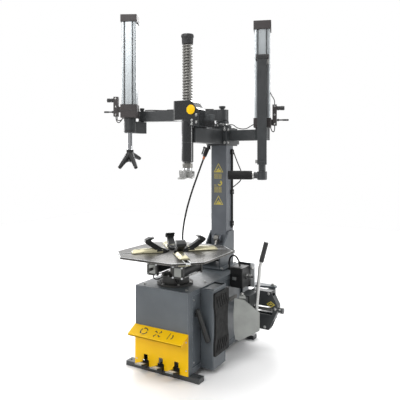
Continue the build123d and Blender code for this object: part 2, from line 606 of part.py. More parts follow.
PRESSER_REACH = 108
PRESSER_LEGS = ((-95, 96), (-28, 96), (85, 30))
with BuildPart() as left_presser:
    rod((*LEFT_AXIS, 1296), (*LEFT_AXIS, 1334), 27)
    for turn, drop in PRESSER_LEGS:
        tip_point = (LEFT_AXIS[0] + cos(radians(turn)) * PRESSER_REACH,
                     LEFT_AXIS[1] + sin(radians(turn)) * PRESSER_REACH, 1300 - drop)
        rod((*LEFT_AXIS, 1308), tip_point, 25, end_radius=13)
    rod((*LEFT_AXIS, 1321), (*LEFT_AXIS, 1360), 19 + RUNNING_FIT, Mode.SUBTRACT)
save(left_presser, "left_presser")

# ---------------------------------------------------------------- bead breaker
with BuildPart() as breaker_bracket:
    for z in (175, 380):
        plate(Plane.XY.offset(z), [(half_width, 300), (half_width, 406), (405, 402), (421, 386), (421, 350),
                                   (372, 346)], 14)
    block((half_width, half_width + 10), (300, 404), (150, 420))
    rod((*BREAKER_HINGE, 100), (*BREAKER_HINGE, 500), 14, Mode.SUBTRACT)
save(breaker_bracket, "breaker_bracket")

with BuildPart() as breaker_arm:
    rod((*BREAKER_HINGE, 190), (*BREAKER_HINGE, 379.5), 27)
    block((311, 448), (201, 255), (147, 399))
    plate(Plane.XZ.offset(-255), [(300, 399), (448, 399), (494, 312), (494, 262), (433, 147), (355, 147),
                                  (300, 215)], 54, Mode.INTERSECT)
    plate(Plane.XZ.offset(-255), [(440, 399), (448, 399), (494, 312), (494, 279), (433, 147), (430, 147)], 54)
    block((322, 462), (207, 249), (158, 388), Mode.SUBTRACT)
    block((300, 458), (150, 300), (248, 302), Mode.SUBTRACT)
    plate(Plane.XY.offset(195), [(340, 248), (420, 248), (417, 372), (373, 372)], 50)
    plate(Plane.XY.offset(305), [(340, 248), (420, 248), (417, 372), (373, 372)], 70)
    block((292, 362), (55, 205), (318, 396))
    plate(Plane.XY.offset(330), [(300, 60), (354, 60), (345, 15), (309, 15)], 60)
    rod((*BLADE_PIN, 330), (*BLADE_PIN, 390), 18)
    rod((494, ROD_Y, ROD_Z + 4), (525, ROD_Y, ROD_Z + 4), 19)
    rod((*BREAKER_HINGE, 100), (*BREAKER_HINGE, 500), 14 + RUNNING_FIT, Mode.SUBTRACT)
    rod((*BLADE_PIN, 300), (*BLADE_PIN, 420), 9 + RUNNING_FIT, Mode.SUBTRACT)
save(breaker_arm, "breaker_arm")

blade_way = Vector(cos(radians(BLADE_TURN)), sin(radians(BLADE_TURN)), 0)
blade_face = Vector(blade_way.Y, -blade_way.X, 0)
blade_origin = Vector(*BLADE_PIN, 0) + blade_face * 22
blade_plane = Plane(origin=blade_origin, x_dir=blade_way, z_dir=blade_face)
with BuildPart() as blade:
    with BuildSketch(blade_plane) as outline:
        with BuildLine():
            Polyline((-52, 398), (-58, 300), (-56, 200), (-46, 140), (-20, 132), (20, 150), (108, 191),
                     (108, 304), (10, 386), close=True)
        make_face()
        fillet(vertices(), 7)
    extrude(outline.sketch, amount=8)
    for z in (312, 393):
        plate(Plane(origin=(*BLADE_PIN, z), x_dir=blade_way, z_dir=(0, 0, 1)),
              [(-20, -23), (20, -23), (14, 14), (-14, 14)], 14)
    rod((*BLADE_PIN, 306), (*BLADE_PIN, 414), 9)
save(blade, "blade")

with BuildPart() as blade_handle:
    foot = blade_origin + blade_way * 88 - blade_face * 12 + Vector(0, 0, 268)
    knee = foot + Vector(22, 12, 322)
    grip_end = knee + Vector(34, 20, 150)
    rod(tuple(foot), tuple(knee), 11)
    with Locations(tuple(knee)):
        Sphere(11)
    rod(tuple(knee), tuple(grip_end), 11)
    rod(tuple(knee + (grip_end - knee) * 0.2), tuple(grip_end + (grip_end - knee) * 0.04), 15)
    with Locations(tuple(foot)):
        Sphere(11)
save(blade_handle, "blade_handle")

with BuildPart() as breaker_cylinder:
    rod((-90, ROD_Y, ROD_Z), (120, ROD_Y, ROD_Z), 92)
    rod((0, ROD_Y, ROD_Z - 112), (0, ROD_Y, ROD_Z + 112), 14)
    rod((-82, ROD_Y, ROD_Z), (112, ROD_Y, ROD_Z), 84, Mode.SUBTRACT)
    rod((100, ROD_Y, ROD_Z), (140, ROD_Y, ROD_Z), 10 + RUNNING_FIT, Mode.SUBTRACT)
save(breaker_cylinder, "breaker_cylinder")

with BuildPart() as breaker_rod:
    rod((-20, ROD_Y, ROD_Z), (446, ROD_Y, ROD_Z), 10)
    rod((-20, ROD_Y, ROD_Z), (0, ROD_Y, ROD_Z), 83.5)
save(breaker_rod, "breaker_rod")

# ---------------------------------------------------------------- air preparation, gun and hoses
with BuildPart() as frl_unit:
    block((half_width, 281), (121, 250), (418, AIR_UNIT_TOP))
    fillet(frl_unit.edges().filter_by(Axis.Z), 6)
    block((half_width, 310), (250, 262), (400, 561))
    rod((281, 185, 485), (318, 185, 485), 15)
    rod((318, 185, 485), (330, 185, 485), 8)
save(frl_unit, "frl_unit")

GUN_TOP = (-82, 302, 1346)
GUN_LOW = (-100, 288, 1284)
GUN_EXIT = (-106, 284, 1264)
TRIGGER_TOP = Vector(-92, 272, 1350)
TRIGGER_AXIS = Vector(0.95, -0.31, 0).normalized()
TRIGGER_PIN = 3
with BuildPart() as inflator_gun:
    rod(GUN_TOP, GUN_LOW, 17, end_radius=14)
    block((-79, -64), (290, 317), (1336, HEAD_Z[0]))
    rod(GUN_LOW, GUN_EXIT, 8)
    for side in (-1, 1):
        offset = TRIGGER_AXIS * (side * 8.5)
        rod(tuple(Vector(*GUN_TOP) + offset), tuple(TRIGGER_TOP + offset), 2.5)
    rod(tuple(TRIGGER_TOP - TRIGGER_AXIS * 9), tuple(TRIGGER_TOP + TRIGGER_AXIS * 9), TRIGGER_PIN)
save(inflator_gun, "inflator_gun")

with BuildPart() as gun_trigger:
    rod(tuple(TRIGGER_TOP), (-108, 266, 1300), 5)
    rod(tuple(TRIGGER_TOP - TRIGGER_AXIS * 5), tuple(TRIGGER_TOP + TRIGGER_AXIS * 5), 6.5)
    rod(tuple(TRIGGER_TOP - TRIGGER_AXIS * 12), tuple(TRIGGER_TOP + TRIGGER_AXIS * 12),
        TRIGGER_PIN + RUNNING_FIT, Mode.SUBTRACT)
save(gun_trigger, "gun_trigger")

hose([(-106.2, 283.9, 1263.2), (-120, 274, 1217), (-134, 262, 1167), (-147, 249, 1117), (-160, 235, 1066),
      (-172, 222, 1015), (-182, 209, 964), (-192, 197, 912), (-199, 187, 860), (-206, 178, 807), (-210, 171, 754),
      (-212, 168, 700), (-206, 172, 647), (-186, 186, 600), (-166, 200, 552), (-160, 205, CABINET_TOP + 1.3)],
     GUN_HOSE_RADIUS, "gun_hose")
hose([(129.6, 240.3, CABINET_TOP + 2.3), (121.3, 245.4, 532.5), (124.3, 243.5, 563.5), (138.5, 234.8, 590),
      (161, 220.8, 606.6), (187.4, 204.5, 610), (212.5, 189, 599.6), (231.3, 177.4, 577.5),
      (239.6, 172.3, AIR_UNIT_TOP + 2.3)], AIR_HOSE_RADIUS, "air_hose")

with BuildPart() as column_hoses:
    for y in (398, 414):
        rod((COLUMN_HALF + 5, y, 765), (COLUMN_HALF + 5, y, 1340), 3.5)
    for z in (780, 1010, 1300):
        block((COLUMN_HALF, COLUMN_HALF + 11), (388, 424), (z, z + 34))
save(column_hoses, "column_hoses")
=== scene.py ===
"""Looks of the tyre changer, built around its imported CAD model. Lengths are metres, turns are degrees."""
import json
from math import cos, pi, radians, sin

import bmesh
import bpy
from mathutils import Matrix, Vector


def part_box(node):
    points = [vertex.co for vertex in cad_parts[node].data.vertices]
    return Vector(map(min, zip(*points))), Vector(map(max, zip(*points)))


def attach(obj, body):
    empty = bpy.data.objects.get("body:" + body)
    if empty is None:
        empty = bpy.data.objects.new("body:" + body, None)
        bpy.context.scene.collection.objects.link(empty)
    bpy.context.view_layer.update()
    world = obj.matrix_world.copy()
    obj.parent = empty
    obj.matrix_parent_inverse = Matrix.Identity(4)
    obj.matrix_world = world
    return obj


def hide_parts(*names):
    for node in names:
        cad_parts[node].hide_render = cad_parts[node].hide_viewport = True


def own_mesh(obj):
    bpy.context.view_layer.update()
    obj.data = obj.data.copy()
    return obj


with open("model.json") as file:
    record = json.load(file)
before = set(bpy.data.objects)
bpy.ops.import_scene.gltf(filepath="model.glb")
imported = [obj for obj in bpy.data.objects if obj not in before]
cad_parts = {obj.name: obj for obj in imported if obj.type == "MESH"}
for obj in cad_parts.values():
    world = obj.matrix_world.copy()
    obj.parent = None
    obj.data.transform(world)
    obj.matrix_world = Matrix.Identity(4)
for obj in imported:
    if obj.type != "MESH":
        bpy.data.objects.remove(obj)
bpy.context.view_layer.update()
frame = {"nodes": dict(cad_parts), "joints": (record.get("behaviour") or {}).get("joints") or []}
nodes = frame["nodes"]
scene = bpy.context.scene
SHARP_ANGLE = radians(35)
X_AXIS, Y_AXIS, Z_AXIS = Vector((1, 0, 0)), Vector((0, 1, 0)), Vector((0, 0, 1))


def low(node):
    """Lowest corner of a CAD node."""
    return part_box(node)[0]


def high(node):
    """Highest corner of a CAD node."""
    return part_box(node)[1]


def middle(node):
    """Centre of a CAD node's box."""
    return (low(node) + high(node)) / 2


# ---------------- camera, light and floor
CAMERA_PLACE, CAMERA_TURN, LENS_MM, LENS_SHIFT, VIEW_END = (1.605, -2.728, 1.281), 30, 42.93, -0.1075, 60
ROOM_STRENGTH, BACKDROP_STRENGTH = 0.38, 1.0


def link(name, data):
    """A new object in the scene."""
    made = bpy.data.objects.new(name, data)
    scene.collection.objects.link(made)
    return made


def make_camera():
    data = bpy.data.cameras.new("camera")
    data.lens, data.shift_y, data.clip_end = LENS_MM, LENS_SHIFT, VIEW_END
    scene.camera = link("camera", data)
    scene.camera.location = CAMERA_PLACE
    scene.camera.rotation_euler = (radians(90), 0, radians(CAMERA_TURN))


def area_light(name, place, target, size, power, tall=None):
    data = bpy.data.lights.new(name, "AREA")
    data.shape, data.size, data.size_y, data.energy = "RECTANGLE", size, tall or size, power
    light = link(name, data)
    light.location = place
    light.rotation_euler = (Vector(target) - Vector(place)).to_track_quat("-Z", "Y").to_euler()


def make_studio():
    scene.view_settings.view_transform = "Standard"
    area_light("key_light", (-0.4, -4.2, 3.8), (0, 0, 0.8), 2.6, 125)
    area_light("left_light", (-3.6, -1.0, 2.8), (0, 0, 1.0), 2.2, 30)
    area_light("right_light", (3.6, 0.8, 3.4), (0, 0, 1.0), 1.4, 9)
    area_light("back_light", (-1.5, 3.6, 3.4), (0, 0, 1.2), 2.4, 80)
    area_light("backdrop_light", (-3.2, 5.0, 4.6), (-3.2, 4.8, 0), 5.0, 260)
    area_light("left_strip", (-3.2, 0.9, 1.5), (0, -0.1, 1.4), 0.4, 50, 2.6)
    area_light("right_strip", (3.0, 1.4, 1.5), (0, -0.1, 1.4), 0.4, 30, 2.6)
    area_light("top_light", (0.3, -0.4, 4.6), (0, -0.2, 0.8), 2.4, 60)
    world = bpy.data.worlds.new("studio")
    scene.world = world
    world.use_nodes = True
    tree = world.node_tree
    background = tree.nodes["Background"]
    background.inputs["Color"].default_value = (1, 1, 1, 1)
    # The backdrop wall at the back left is white, the room at the front right is dimmer.
    way = tree.nodes.new("ShaderNodeTexCoord")
    facing = tree.nodes.new("ShaderNodeVectorMath")
    facing.operation = "DOT_PRODUCT"
    facing.inputs[1].default_value = (-0.5, 0.866, 0)
    fade = tree.nodes.new("ShaderNodeMapRange")
    for key, value in (("From Min", -0.5), ("From Max", 0.7), ("To Min", ROOM_STRENGTH),
            ("To Max", BACKDROP_STRENGTH)):
        fade.inputs[key].default_value = value
    tree.links.new(way.outputs["Generated"], facing.inputs[0])
    tree.links.new(facing.outputs["Value"], fade.inputs["Value"])
    tree.links.new(fade.outputs["Result"], background.inputs["Strength"])


# ---------------- materials
def add(tree, kind, **values):
    """A node with its named inputs set."""
    node = tree.nodes.new(kind)
    for key, value in values.items():
        node.inputs[key].default_value = value
    return node


def noise(tree, scale, detail=4, stretch=(1, 1, 1)):
    """Object-space noise, stretched along the axes when a grain is wanted."""
    place = tree.nodes.new("ShaderNodeTexCoord")
    mapping = add(tree, "ShaderNodeMapping", Scale=stretch)
    made = add(tree, "ShaderNodeTexNoise", Scale=scale, Detail=detail)
    tree.links.new(place.outputs["Object"], mapping.inputs["Vector"])
    tree.links.new(mapping.outputs["Vector"], made.inputs["Vector"])
    return made.outputs["Fac"]


def ranged(tree, value, from_low, from_high, to_low, to_high):
    """A value remapped from one range to another, and clamped."""
    node = add(tree, "ShaderNodeMapRange", **{"From Min": from_low, "From Max": from_high, "To Min": to_low,
        "To Max": to_high})
    tree.links.new(value, node.inputs["Value"])
    return node.outputs["Result"]


def mixed(tree, factor, first, second):
    """A colour between two colours or sockets."""
    node = tree.nodes.new("ShaderNodeMix")
    node.data_type = "RGBA"
    tree.links.new(factor, node.inputs["Factor"])
    for socket, colour in (("A", first), ("B", second)):
        target = [s for s in node.inputs if s.name == socket and s.type == "RGBA"][0]
        if isinstance(colour, bpy.types.NodeSocket):
            tree.links.new(colour, target)
        else:
            target.default_value = (*colour, 1)
    return [s for s in node.outputs if s.type == "RGBA"][0]


def times(tree, first, second):
    """The product of two values."""
    node = tree.nodes.new("ShaderNodeMath")
    node.operation = "MULTIPLY"
    tree.links.new(first, node.inputs[0])
    tree.links.new(second, node.inputs[1])
    return node.outputs[0]


def surface(name, colour, wear_and_highlight_colour, rough=(0.35, 0.5), metallic=0.0, grain=(900, 0.00004), spread=0.12, edge=0.0012,
        wear_and_highlight=0.5, blotch=6.0, stretch=(1, 1, 1), coat=0.0, specular=0.5):
    """A finish with blotchy colour, uneven gloss, a fine grain bump, and lighter edges that stand for both edge wear
    and painted edge highlights.
    """
    made = bpy.data.materials.new(name)
    made.use_nodes = True
    tree = made.node_tree
    shader = tree.nodes["Principled BSDF"]
    patches = ranged(tree, noise(tree, blotch, 5), 0.35, 0.65, 0, 1)
    dark = tuple(c * (1 - spread) for c in colour)
    light = tuple(min(1, c * (1 + spread)) for c in colour)
    base = mixed(tree, patches, dark, light)
    bevel = add(tree, "ShaderNodeBevel", Radius=edge)
    bevel.samples = 4
    geometry = tree.nodes.new("ShaderNodeNewGeometry")
    facing = add(tree, "ShaderNodeVectorMath")
    facing.operation = "DOT_PRODUCT"
    tree.links.new(bevel.outputs["Normal"], facing.inputs[0])
    tree.links.new(geometry.outputs["Normal"], facing.inputs[1])
    # Painted edge highlight: the bevel mask gives edges the lighter colour, which stands for both edge wear and the
    # light that edges catch.
    rim = ranged(tree, facing.outputs["Value"], 0.99, 0.85, 0, wear_and_highlight)
    wear_and_highlight_mask = times(tree, rim, ranged(tree, noise(tree, 70, 3), 0.35, 0.6, 0.25, 1))
    tree.links.new(mixed(tree, wear_and_highlight_mask, base, wear_and_highlight_colour), shader.inputs["Base Color"])
    gloss = ranged(tree, noise(tree, blotch * 6, 4, stretch), 0.3, 0.7, *rough)
    tree.links.new(gloss, shader.inputs["Roughness"])
    bump = add(tree, "ShaderNodeBump", Strength=0.6, Distance=grain[1])
    tree.links.new(noise(tree, grain[0], 3, stretch), bump.inputs["Height"])
    tree.links.new(bevel.outputs["Normal"], bump.inputs["Normal"])
    tree.links.new(bump.outputs["Normal"], shader.inputs["Normal"])
    for key, value in (("Metallic", metallic), ("Coat Weight", coat), ("Coat Roughness", 0.12),
            ("Specular IOR Level", specular)):
        shader.inputs[key].default_value = value
    return made


# The lighter edge colours of the slate and dark powder coats are painted edge highlights as well as edge wear.
GREY = surface("slate_powder_coat", (0.08, 0.092, 0.103), (0.42, 0.45, 0.48), rough=(0.3, 0.42), edge=0.0028,
    wear_and_highlight=0.75, grain=(1400, 0.00005))
DARK_PAINT_AND_SHADE = surface("dark_powder_coat_and_painted_shade", (0.036, 0.039, 0.041), (0.19, 0.2, 0.2), rough=(0.3, 0.45), edge=0.0022,
    wear_and_highlight=0.6, grain=(1400, 0.00005))
COLUMN = surface("column_paint", (0.115, 0.126, 0.142), (0.28, 0.3, 0.32), rough=(0.28, 0.4))
YELLOW = surface("yellow_enamel", (0.84, 0.5, 0.003), (0.95, 0.72, 0.2), rough=(0.3, 0.42), spread=0.04, wear_and_highlight=0.3,
    specular=0.2)
BLACK = surface("satin_black", (0.017, 0.018, 0.018), (0.14, 0.14, 0.13), rough=(0.32, 0.5), wear_and_highlight=0.6,
    specular=0.35)
PLASTIC = surface("black_plastic", (0.018, 0.018, 0.019), (0.06, 0.06, 0.06), rough=(0.4, 0.55),
    grain=(2200, 0.00008), wear_and_highlight=0.3)
RUBBER = surface("black_rubber", (0.01, 0.01, 0.01), (0.03, 0.03, 0.03), rough=(0.6, 0.8), grain=(1600, 0.00012),
    wear_and_highlight=0.3, specular=0.3)
GREY_PLASTIC = surface("grey_plastic", (0.034, 0.028, 0.028), (0.11, 0.1, 0.1), rough=(0.42, 0.55),
    grain=(2200, 0.00008), wear_and_highlight=0.4)
# Painted sheen: the wide colour spread paints light sheen patches on the table top, and the near-white edge colour
# paints a bright highlight along its edges.
TABLE = surface("table_steel", (0.078, 0.075, 0.07), (0.7, 0.7, 0.68), rough=(0.24, 0.46), metallic=0.85,
    edge=0.003, stretch=(1, 12, 1), grain=(260, 0.00006), spread=0.45, wear_and_highlight=0.9, blotch=7)
STEEL = surface("brushed_steel", (0.5, 0.5, 0.49), (0.75, 0.75, 0.73), rough=(0.25, 0.4), metallic=1.0,
    stretch=(1, 1, 14), grain=(240, 0.00005), spread=0.12, wear_and_highlight=0.5)
ZINC = surface("zinc_plate", (0.31, 0.32, 0.305), (0.52, 0.53, 0.5), rough=(0.38, 0.52), metallic=0.55,
    spread=0.1, wear_and_highlight=0.5, blotch=9)
YELLOW_ZINC = surface("yellow_passivated_zinc", (0.45, 0.42, 0.28), (0.75, 0.73, 0.6), rough=(0.26, 0.36),
    metallic=0.6, spread=0.16, wear_and_highlight=0.4, blotch=7, grain=(900, 0.00002))
CHROME = surface("chrome", (0.72, 0.73, 0.75), (0.85, 0.85, 0.87), rough=(0.06, 0.14), metallic=1.0, spread=0.04,
    wear_and_highlight=0.2, grain=(300, 0.00001))
ALUMINIUM = surface("anodised_aluminium", (0.44, 0.47, 0.485), (0.62, 0.65, 0.66), rough=(0.26, 0.36),
    metallic=0.65, stretch=(1, 1, 0.03), grain=(500, 0.00001), spread=0.05, wear_and_highlight=0.3)
IRON = surface("cast_iron", (0.06, 0.06, 0.058), (0.2, 0.2, 0.19), rough=(0.5, 0.7), metallic=0.4,
    grain=(500, 0.0003), wear_and_highlight=0.4)
COPPER = surface("orange_sleeve", (0.5, 0.13, 0.03), (0.7, 0.3, 0.1), rough=(0.3, 0.45), wear_and_highlight=0.4)
# Black ink for the printed pictograms, also used as painted shade in the breaker slot.
INK_AND_SHADE = surface("black_ink_and_painted_shade", (0.02, 0.018, 0.01), (0.03, 0.03, 0.02), rough=(0.4, 0.5), wear_and_highlight=0.1, edge=0.0003)
STICKER = surface("yellow_sticker", (0.62, 0.5, 0.07), (0.7, 0.6, 0.2), rough=(0.35, 0.45), wear_and_highlight=0.1, edge=0.0003)
SPRING = surface("oiled_spring_steel", (0.24, 0.235, 0.22), (0.5, 0.5, 0.46), rough=(0.3, 0.42), metallic=0.7,
    wear_and_highlight=0.3, edge=0.0006)
# The lighter edge colour of the gloss black paints highlights along the housing's edges.
GLOSS = surface("gloss_black_sleeve", (0.016, 0.017, 0.018), (0.2, 0.21, 0.22), rough=(0.1, 0.18), edge=0.0025,
    wear_and_highlight=0.7, coat=0.8)
GREY_PLATE = surface("light_grey_plate", (0.085, 0.088, 0.09), (0.2, 0.2, 0.2), rough=(0.4, 0.5))
# Near-white steel: real bright steel on the nuts, treads and air bracket, and a painted highlight on the table rim and
# slot edges.
BRIGHT_STEEL_AND_HIGHLIGHT = surface("bright_steel_and_painted_highlight", (0.74, 0.76, 0.77), (0.8, 0.8, 0.8), rough=(0.25, 0.4), metallic=0.35,
    spread=0.2, blotch=20)
FLOOR = surface("pale_floor", (0.86, 0.86, 0.86), (0.9, 0.9, 0.9), rough=(0.5, 0.6), spread=0.01, wear_and_highlight=0.0,
    blotch=0.6)

CAD_FINISH = {
    GREY: ["cabinet_shell", "side_panels", "buffer_box", "column_base", "breaker_bracket"],
    DARK_PAINT_AND_SHADE: ["foot_rails", "breaker_arm", "main_arm", "column_head", "right_post", "roller_arm",
           "left_arm", "left_link"],
    COLUMN: ["column_tube"],
    YELLOW: ["pedal_cover"],
    GLOSS: ["shaft_housing"],
    BLACK: ["turn_pedal", "clamp_pedal", "breaker_pedal", "tyre_lever", "left_presser", "drive_motor", "tilt_cylinder"],
    PLASTIC: ["frl_unit", "inflator_gun", "gun_trigger", "left_lever", "right_lever", "shaft_cap"],
    GREY_PLASTIC: ["left_cylinder_ends", "right_cylinder_ends"],
    RUBBER: ["buffer_pad", "tyre_roller", "drive_belt", "column_hoses"],
    ZINC: ["blade", "pivot_pins", "breaker_cylinder"],
    STEEL: ["mount_head", "head_roller", "blade_handle"],
    SPRING: ["mount_shaft", "breaker_rod", "tilt_rod", "turntable_shaft"],
    TABLE: ["turntable_plate"],
    ALUMINIUM: ["left_cylinder", "right_cylinder"],
    CHROME: ["left_rod"],
    IRON: ["gearbox", "clamp_drive", "worm_pulley", "motor_pulley"],
}


def finish_cad_nodes():
    for finish, names in CAD_FINISH.items():
        for name in names:
            nodes[name].data.materials.clear()
            nodes[name].data.materials.append(finish)


# ---------------- mesh helpers
def place(name, shape, finish, body, bevel=0.0, smooth=False, slot=None):
    """A finished piece from a bmesh, riding on a body."""
    bmesh.ops.recalc_face_normals(shape, faces=shape.faces)
    mesh = bpy.data.meshes.new(name)
    shape.to_mesh(mesh)
    shape.free()
    piece = link(name, mesh)
    mesh.materials.append(finish)
    if smooth:
        mesh.shade_smooth()
        mesh.set_sharp_from_angle(angle=SHARP_ANGLE)
    if bevel:
        rounding = piece.modifiers.new("bevel", "BEVEL")
        rounding.width = bevel
        rounding.segments = 2
        rounding.limit_method = "ANGLE"
        rounding.angle_limit = SHARP_ANGLE
    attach(piece, body)
    return piece


def rectangle(half_wide, half_high):
    """The corners of an upright rectangle."""
    return [(-half_wide, -half_high), (half_wide, -half_high), (half_wide, half_high), (-half_wide, half_high)]


def framed(outer, inner):
    """The four-sided pieces between two outlines with as many corners."""
    return [[outer[k - 1], outer[k], inner[k], inner[k - 1]] for k in range(len(outer))]


def bridge(shape, rings, closed=True):
    """Faces between rings of as many corners, with the two ends closed on request."""
    for first, second in zip(rings, rings[1:]):
        for k in range(len(first)):
            shape.faces.new((first[k - 1], first[k], second[k], second[k - 1]))
    if closed:
        shape.faces.new(rings[0])
        shape.faces.new(rings[-1])


def add_prism(shape, outline, origin, across, up, depth):
    """An outline in the plane of across and up, raised by depth along their normal."""
    origin, across, up = Vector(origin), Vector(across).normalized(), Vector(up).normalized()
    raise_by = across.cross(up) * depth
    base = [shape.verts.new(origin + across * a + up * b) for a, b in outline]
    top = [shape.verts.new(v.co + raise_by) for v in base]
    bridge(shape, [base, top])


def add_lathe(shape, profile, origin, axis, steps=32):
    """A profile of (radius, height) points turned about an axis."""
    turn = Vector(axis).to_track_quat("Z", "X").to_matrix()
    origin = Vector(origin)
    rings = []
    for radius, height in profile:
        if radius <= 0:
            rings.append([shape.verts.new(origin + turn @ Vector((0, 0, height)))])
            continue
        rings.append([shape.verts.new(origin + turn @ Vector((radius * cos(2 * pi * k / steps),
            radius * sin(2 * pi * k / steps), height))) for k in range(steps)])
    for first, second in zip(rings, rings[1:]):
        for k in range(steps):
            ring = [first[k % len(first)], first[(k + 1) % len(first)], second[(k + 1) % len(second)],
                second[k % len(second)]]
            corners = list(dict.fromkeys(ring))
            if len(corners) > 2:
                shape.faces.new(corners)
    for ring in (rings[0], rings[-1]):
        if len(ring) > 2:
            shape.faces.new(ring)


def bolt_set(name, places, size, body, finish=STEEL):
    """Hexagon-headed bolts with washers, one mesh for the set; each place is a point and a direction."""
    shape = bmesh.new()
    for point, way in places:
        washer = [(size * 1.15, 0), (size * 1.15, size * 0.16), (size * 0.5, size * 0.16)]
        add_lathe(shape, [(0, 0), *washer, (0, size * 0.16)], point, way, 20)
        head = Vector(point) + Vector(way).normalized() * size * 0.16
        add_lathe(shape, [(0, 0), (size * 0.95, 0), (size * 0.95, size * 0.5), (size * 0.8, size * 0.62),
            (0, size * 0.62)], head, way, 6)
    place(name, shape, finish, body, bevel=size * 0.06)


def tube_curve(name, points, radius):
    """A bent rubber tube along a smooth curve; the radius sits on the points, so the curve's own box fits it."""
    curve = bpy.data.curves.new(name, "CURVE")
    curve.dimensions, curve.use_fill_caps = "3D", True
    curve.bevel_depth, curve.bevel_resolution, curve.resolution_u = 1, 3, 8
    spline = curve.splines.new("NURBS")
    spline.points.add(len(points) - 1)
    for knot, point in zip(spline.points, points):
        knot.co = (*point, 1)
        knot.radius = radius
    spline.order_u = 3
    spline.use_endpoint_u = True
    curve.materials.append(RUBBER)
    return link(name, curve)


def arc_points(centre, radius, start, end, steps):
    """Points on an arc, angles in degrees."""
    turns = [radians(start + (end - start) * k / steps) for k in range(steps + 1)]
    return [(centre[0] + radius * cos(a), centre[1] + radius * sin(a)) for a in turns]


def band(centre, inner, outer, start, end, steps=14):
    """The outline of a curved band."""
    return arc_points(centre, outer, start, end, steps) + arc_points(centre, inner, end, start, steps)


# ---------------- hoses
GUN_HOSE = [(-0.1062, 0.2839, 1.2632), (-0.12, 0.274, 1.217), (-0.134, 0.262, 1.167), (-0.147, 0.249, 1.117),
    (-0.16, 0.235, 1.066), (-0.172, 0.222, 1.015), (-0.182, 0.209, 0.964), (-0.192, 0.197, 0.912),
    (-0.199, 0.187, 0.86), (-0.206, 0.178, 0.807), (-0.21, 0.171, 0.754), (-0.212, 0.168, 0.7),
    (-0.206, 0.172, 0.647), (-0.186, 0.186, 0.6), (-0.166, 0.2, 0.552), (-0.16, 0.205, 0.5043)]
AIR_HOSE = [(0.1296, 0.2403, 0.5053), (0.1213, 0.2454, 0.5325), (0.1243, 0.2435, 0.5635), (0.1385, 0.2348, 0.59),
    (0.161, 0.2208, 0.6066), (0.1874, 0.2045, 0.61), (0.2125, 0.189, 0.5996), (0.2313, 0.1774, 0.5775),
    (0.2396, 0.1723, 0.5503)]


def route_length(piece):
    """Length of a curve's own line."""
    mesh = bpy.data.meshes.new_from_object(piece)
    total = sum((mesh.vertices[e.vertices[0]].co - mesh.vertices[e.vertices[1]].co).length for e in mesh.edges)
    bpy.data.meshes.remove(mesh)
    return total


def make_hoses():
    for name, route, radius, stiffness, lay in (("gun_hose", GUN_HOSE, 0.0065, "medium", "hanging"),
            ("air_hose", AIR_HOSE, 0.006, "stiff", "loose")):
        hose = tube_curve(name + "_tube", route, radius)
        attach(hose, "cabinet")
        hose.data.bevel_depth = 0
        length = route_length(hose)
        hose.data.bevel_depth = 1
        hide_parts(name)


make_camera()
make_studio()
make_hoses()
finish_cad_nodes()


# ---------------- lines shared by several pieces
def along(start, end, fraction):
    """A point on the line between two points."""
    return Vector(start).lerp(Vector(end), fraction)


def turned_way(turn, dx, dy, dz=0):
    """A direction given in axes turned about the upright."""
    a = radians(turn)
    return Vector((dx * cos(a) - dy * sin(a), dx * sin(a) + dy * cos(a), dz))


def turned_point(centre, turn, dx, dy, z):
    """A point given in axes turned about an upright line."""
    return Vector((centre[0], centre[1], 0)) + turned_way(turn, dx, dy, z)


def turned_axes(turn):
    """The way along a turn, the way to its left, and up."""
    return turned_way(turn, 1, 0), turned_way(turn, 0, 1), Z_AXIS


joint_place = {j["name"]: Vector(j["pos_m"]) for j in frame["joints"] if "pos_m" in j}
LEFT_AXIS = (middle("left_cylinder").x, middle("left_cylinder").y)
RIGHT_AXIS = (middle("right_cylinder").x, middle("right_cylinder").y)
LEFT_TURN, RIGHT_TURN = 27.6, 20.5
SHAFT = (middle("shaft_cap").x, middle("shaft_cap").y)
TABLE = Vector((middle("turntable_plate").x, middle("turntable_plate").y, high("turntable_plate").z))
ELBOW = joint_place["left_link_swing"]
PIVOT = joint_place["left_arm_swing"]
POST = joint_place["roller_arm_swing"]


def lathe(name, profile, origin, axis, finish, body, steps=36, bevel=0.0):
    """One smooth turned piece."""
    shape = bmesh.new()
    add_lathe(shape, profile, origin, axis, steps)
    place(name, shape, finish, body, bevel=bevel, smooth=True)


def box(shape, centre, half, axes=(X_AXIS, Y_AXIS, Z_AXIS)):
    """A block with half sizes along three square axes."""
    centre = Vector(centre)
    across, up, out = (Vector(a).normalized() for a in axes)
    add_prism(shape, rectangle(half[0], half[1]), centre - out * half[2], across, up, 2 * half[2])


def block(name, parts, finish, body, bevel=0.0008):
    """One piece of several blocks, each a centre, half sizes and axes."""
    shape = bmesh.new()
    for part in parts:
        box(shape, *part)
    place(name, shape, finish, body, bevel=bevel)


def hose_mesh(name, points, radius, body):
    """A fixed small hose, baked to a mesh."""
    curve = tube_curve(name + "_line", points, radius)
    mesh = bpy.data.meshes.new_from_object(curve)
    bpy.data.objects.remove(curve)
    mesh.name = name
    if not mesh.materials:
        mesh.materials.append(RUBBER)
    piece = link(name, mesh)
    mesh.shade_smooth()
    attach(piece, body)


def valve_grip(name, length, origin, way, body):
    """The waisted knob of an air valve."""
    lathe(name, [(0.0132, 0), (0.015, 0.003), (0.015, 0.016), (0.0125, 0.02), (0.015, 0.026),
        (0.015, length - 0.0035), (0.012, length - 0.0005), (0, length)], origin, way, PLASTIC, body, steps=24)


def lever_grip(name, length, origin, way, body):
    """The round grip of a valve lever."""
    lathe(name, [(0, 0), (0.0062, 0), (0.0066, 0.004), (0.0066, length - 0.002), (0, length)], origin, way,
        PLASTIC, body, steps=20)


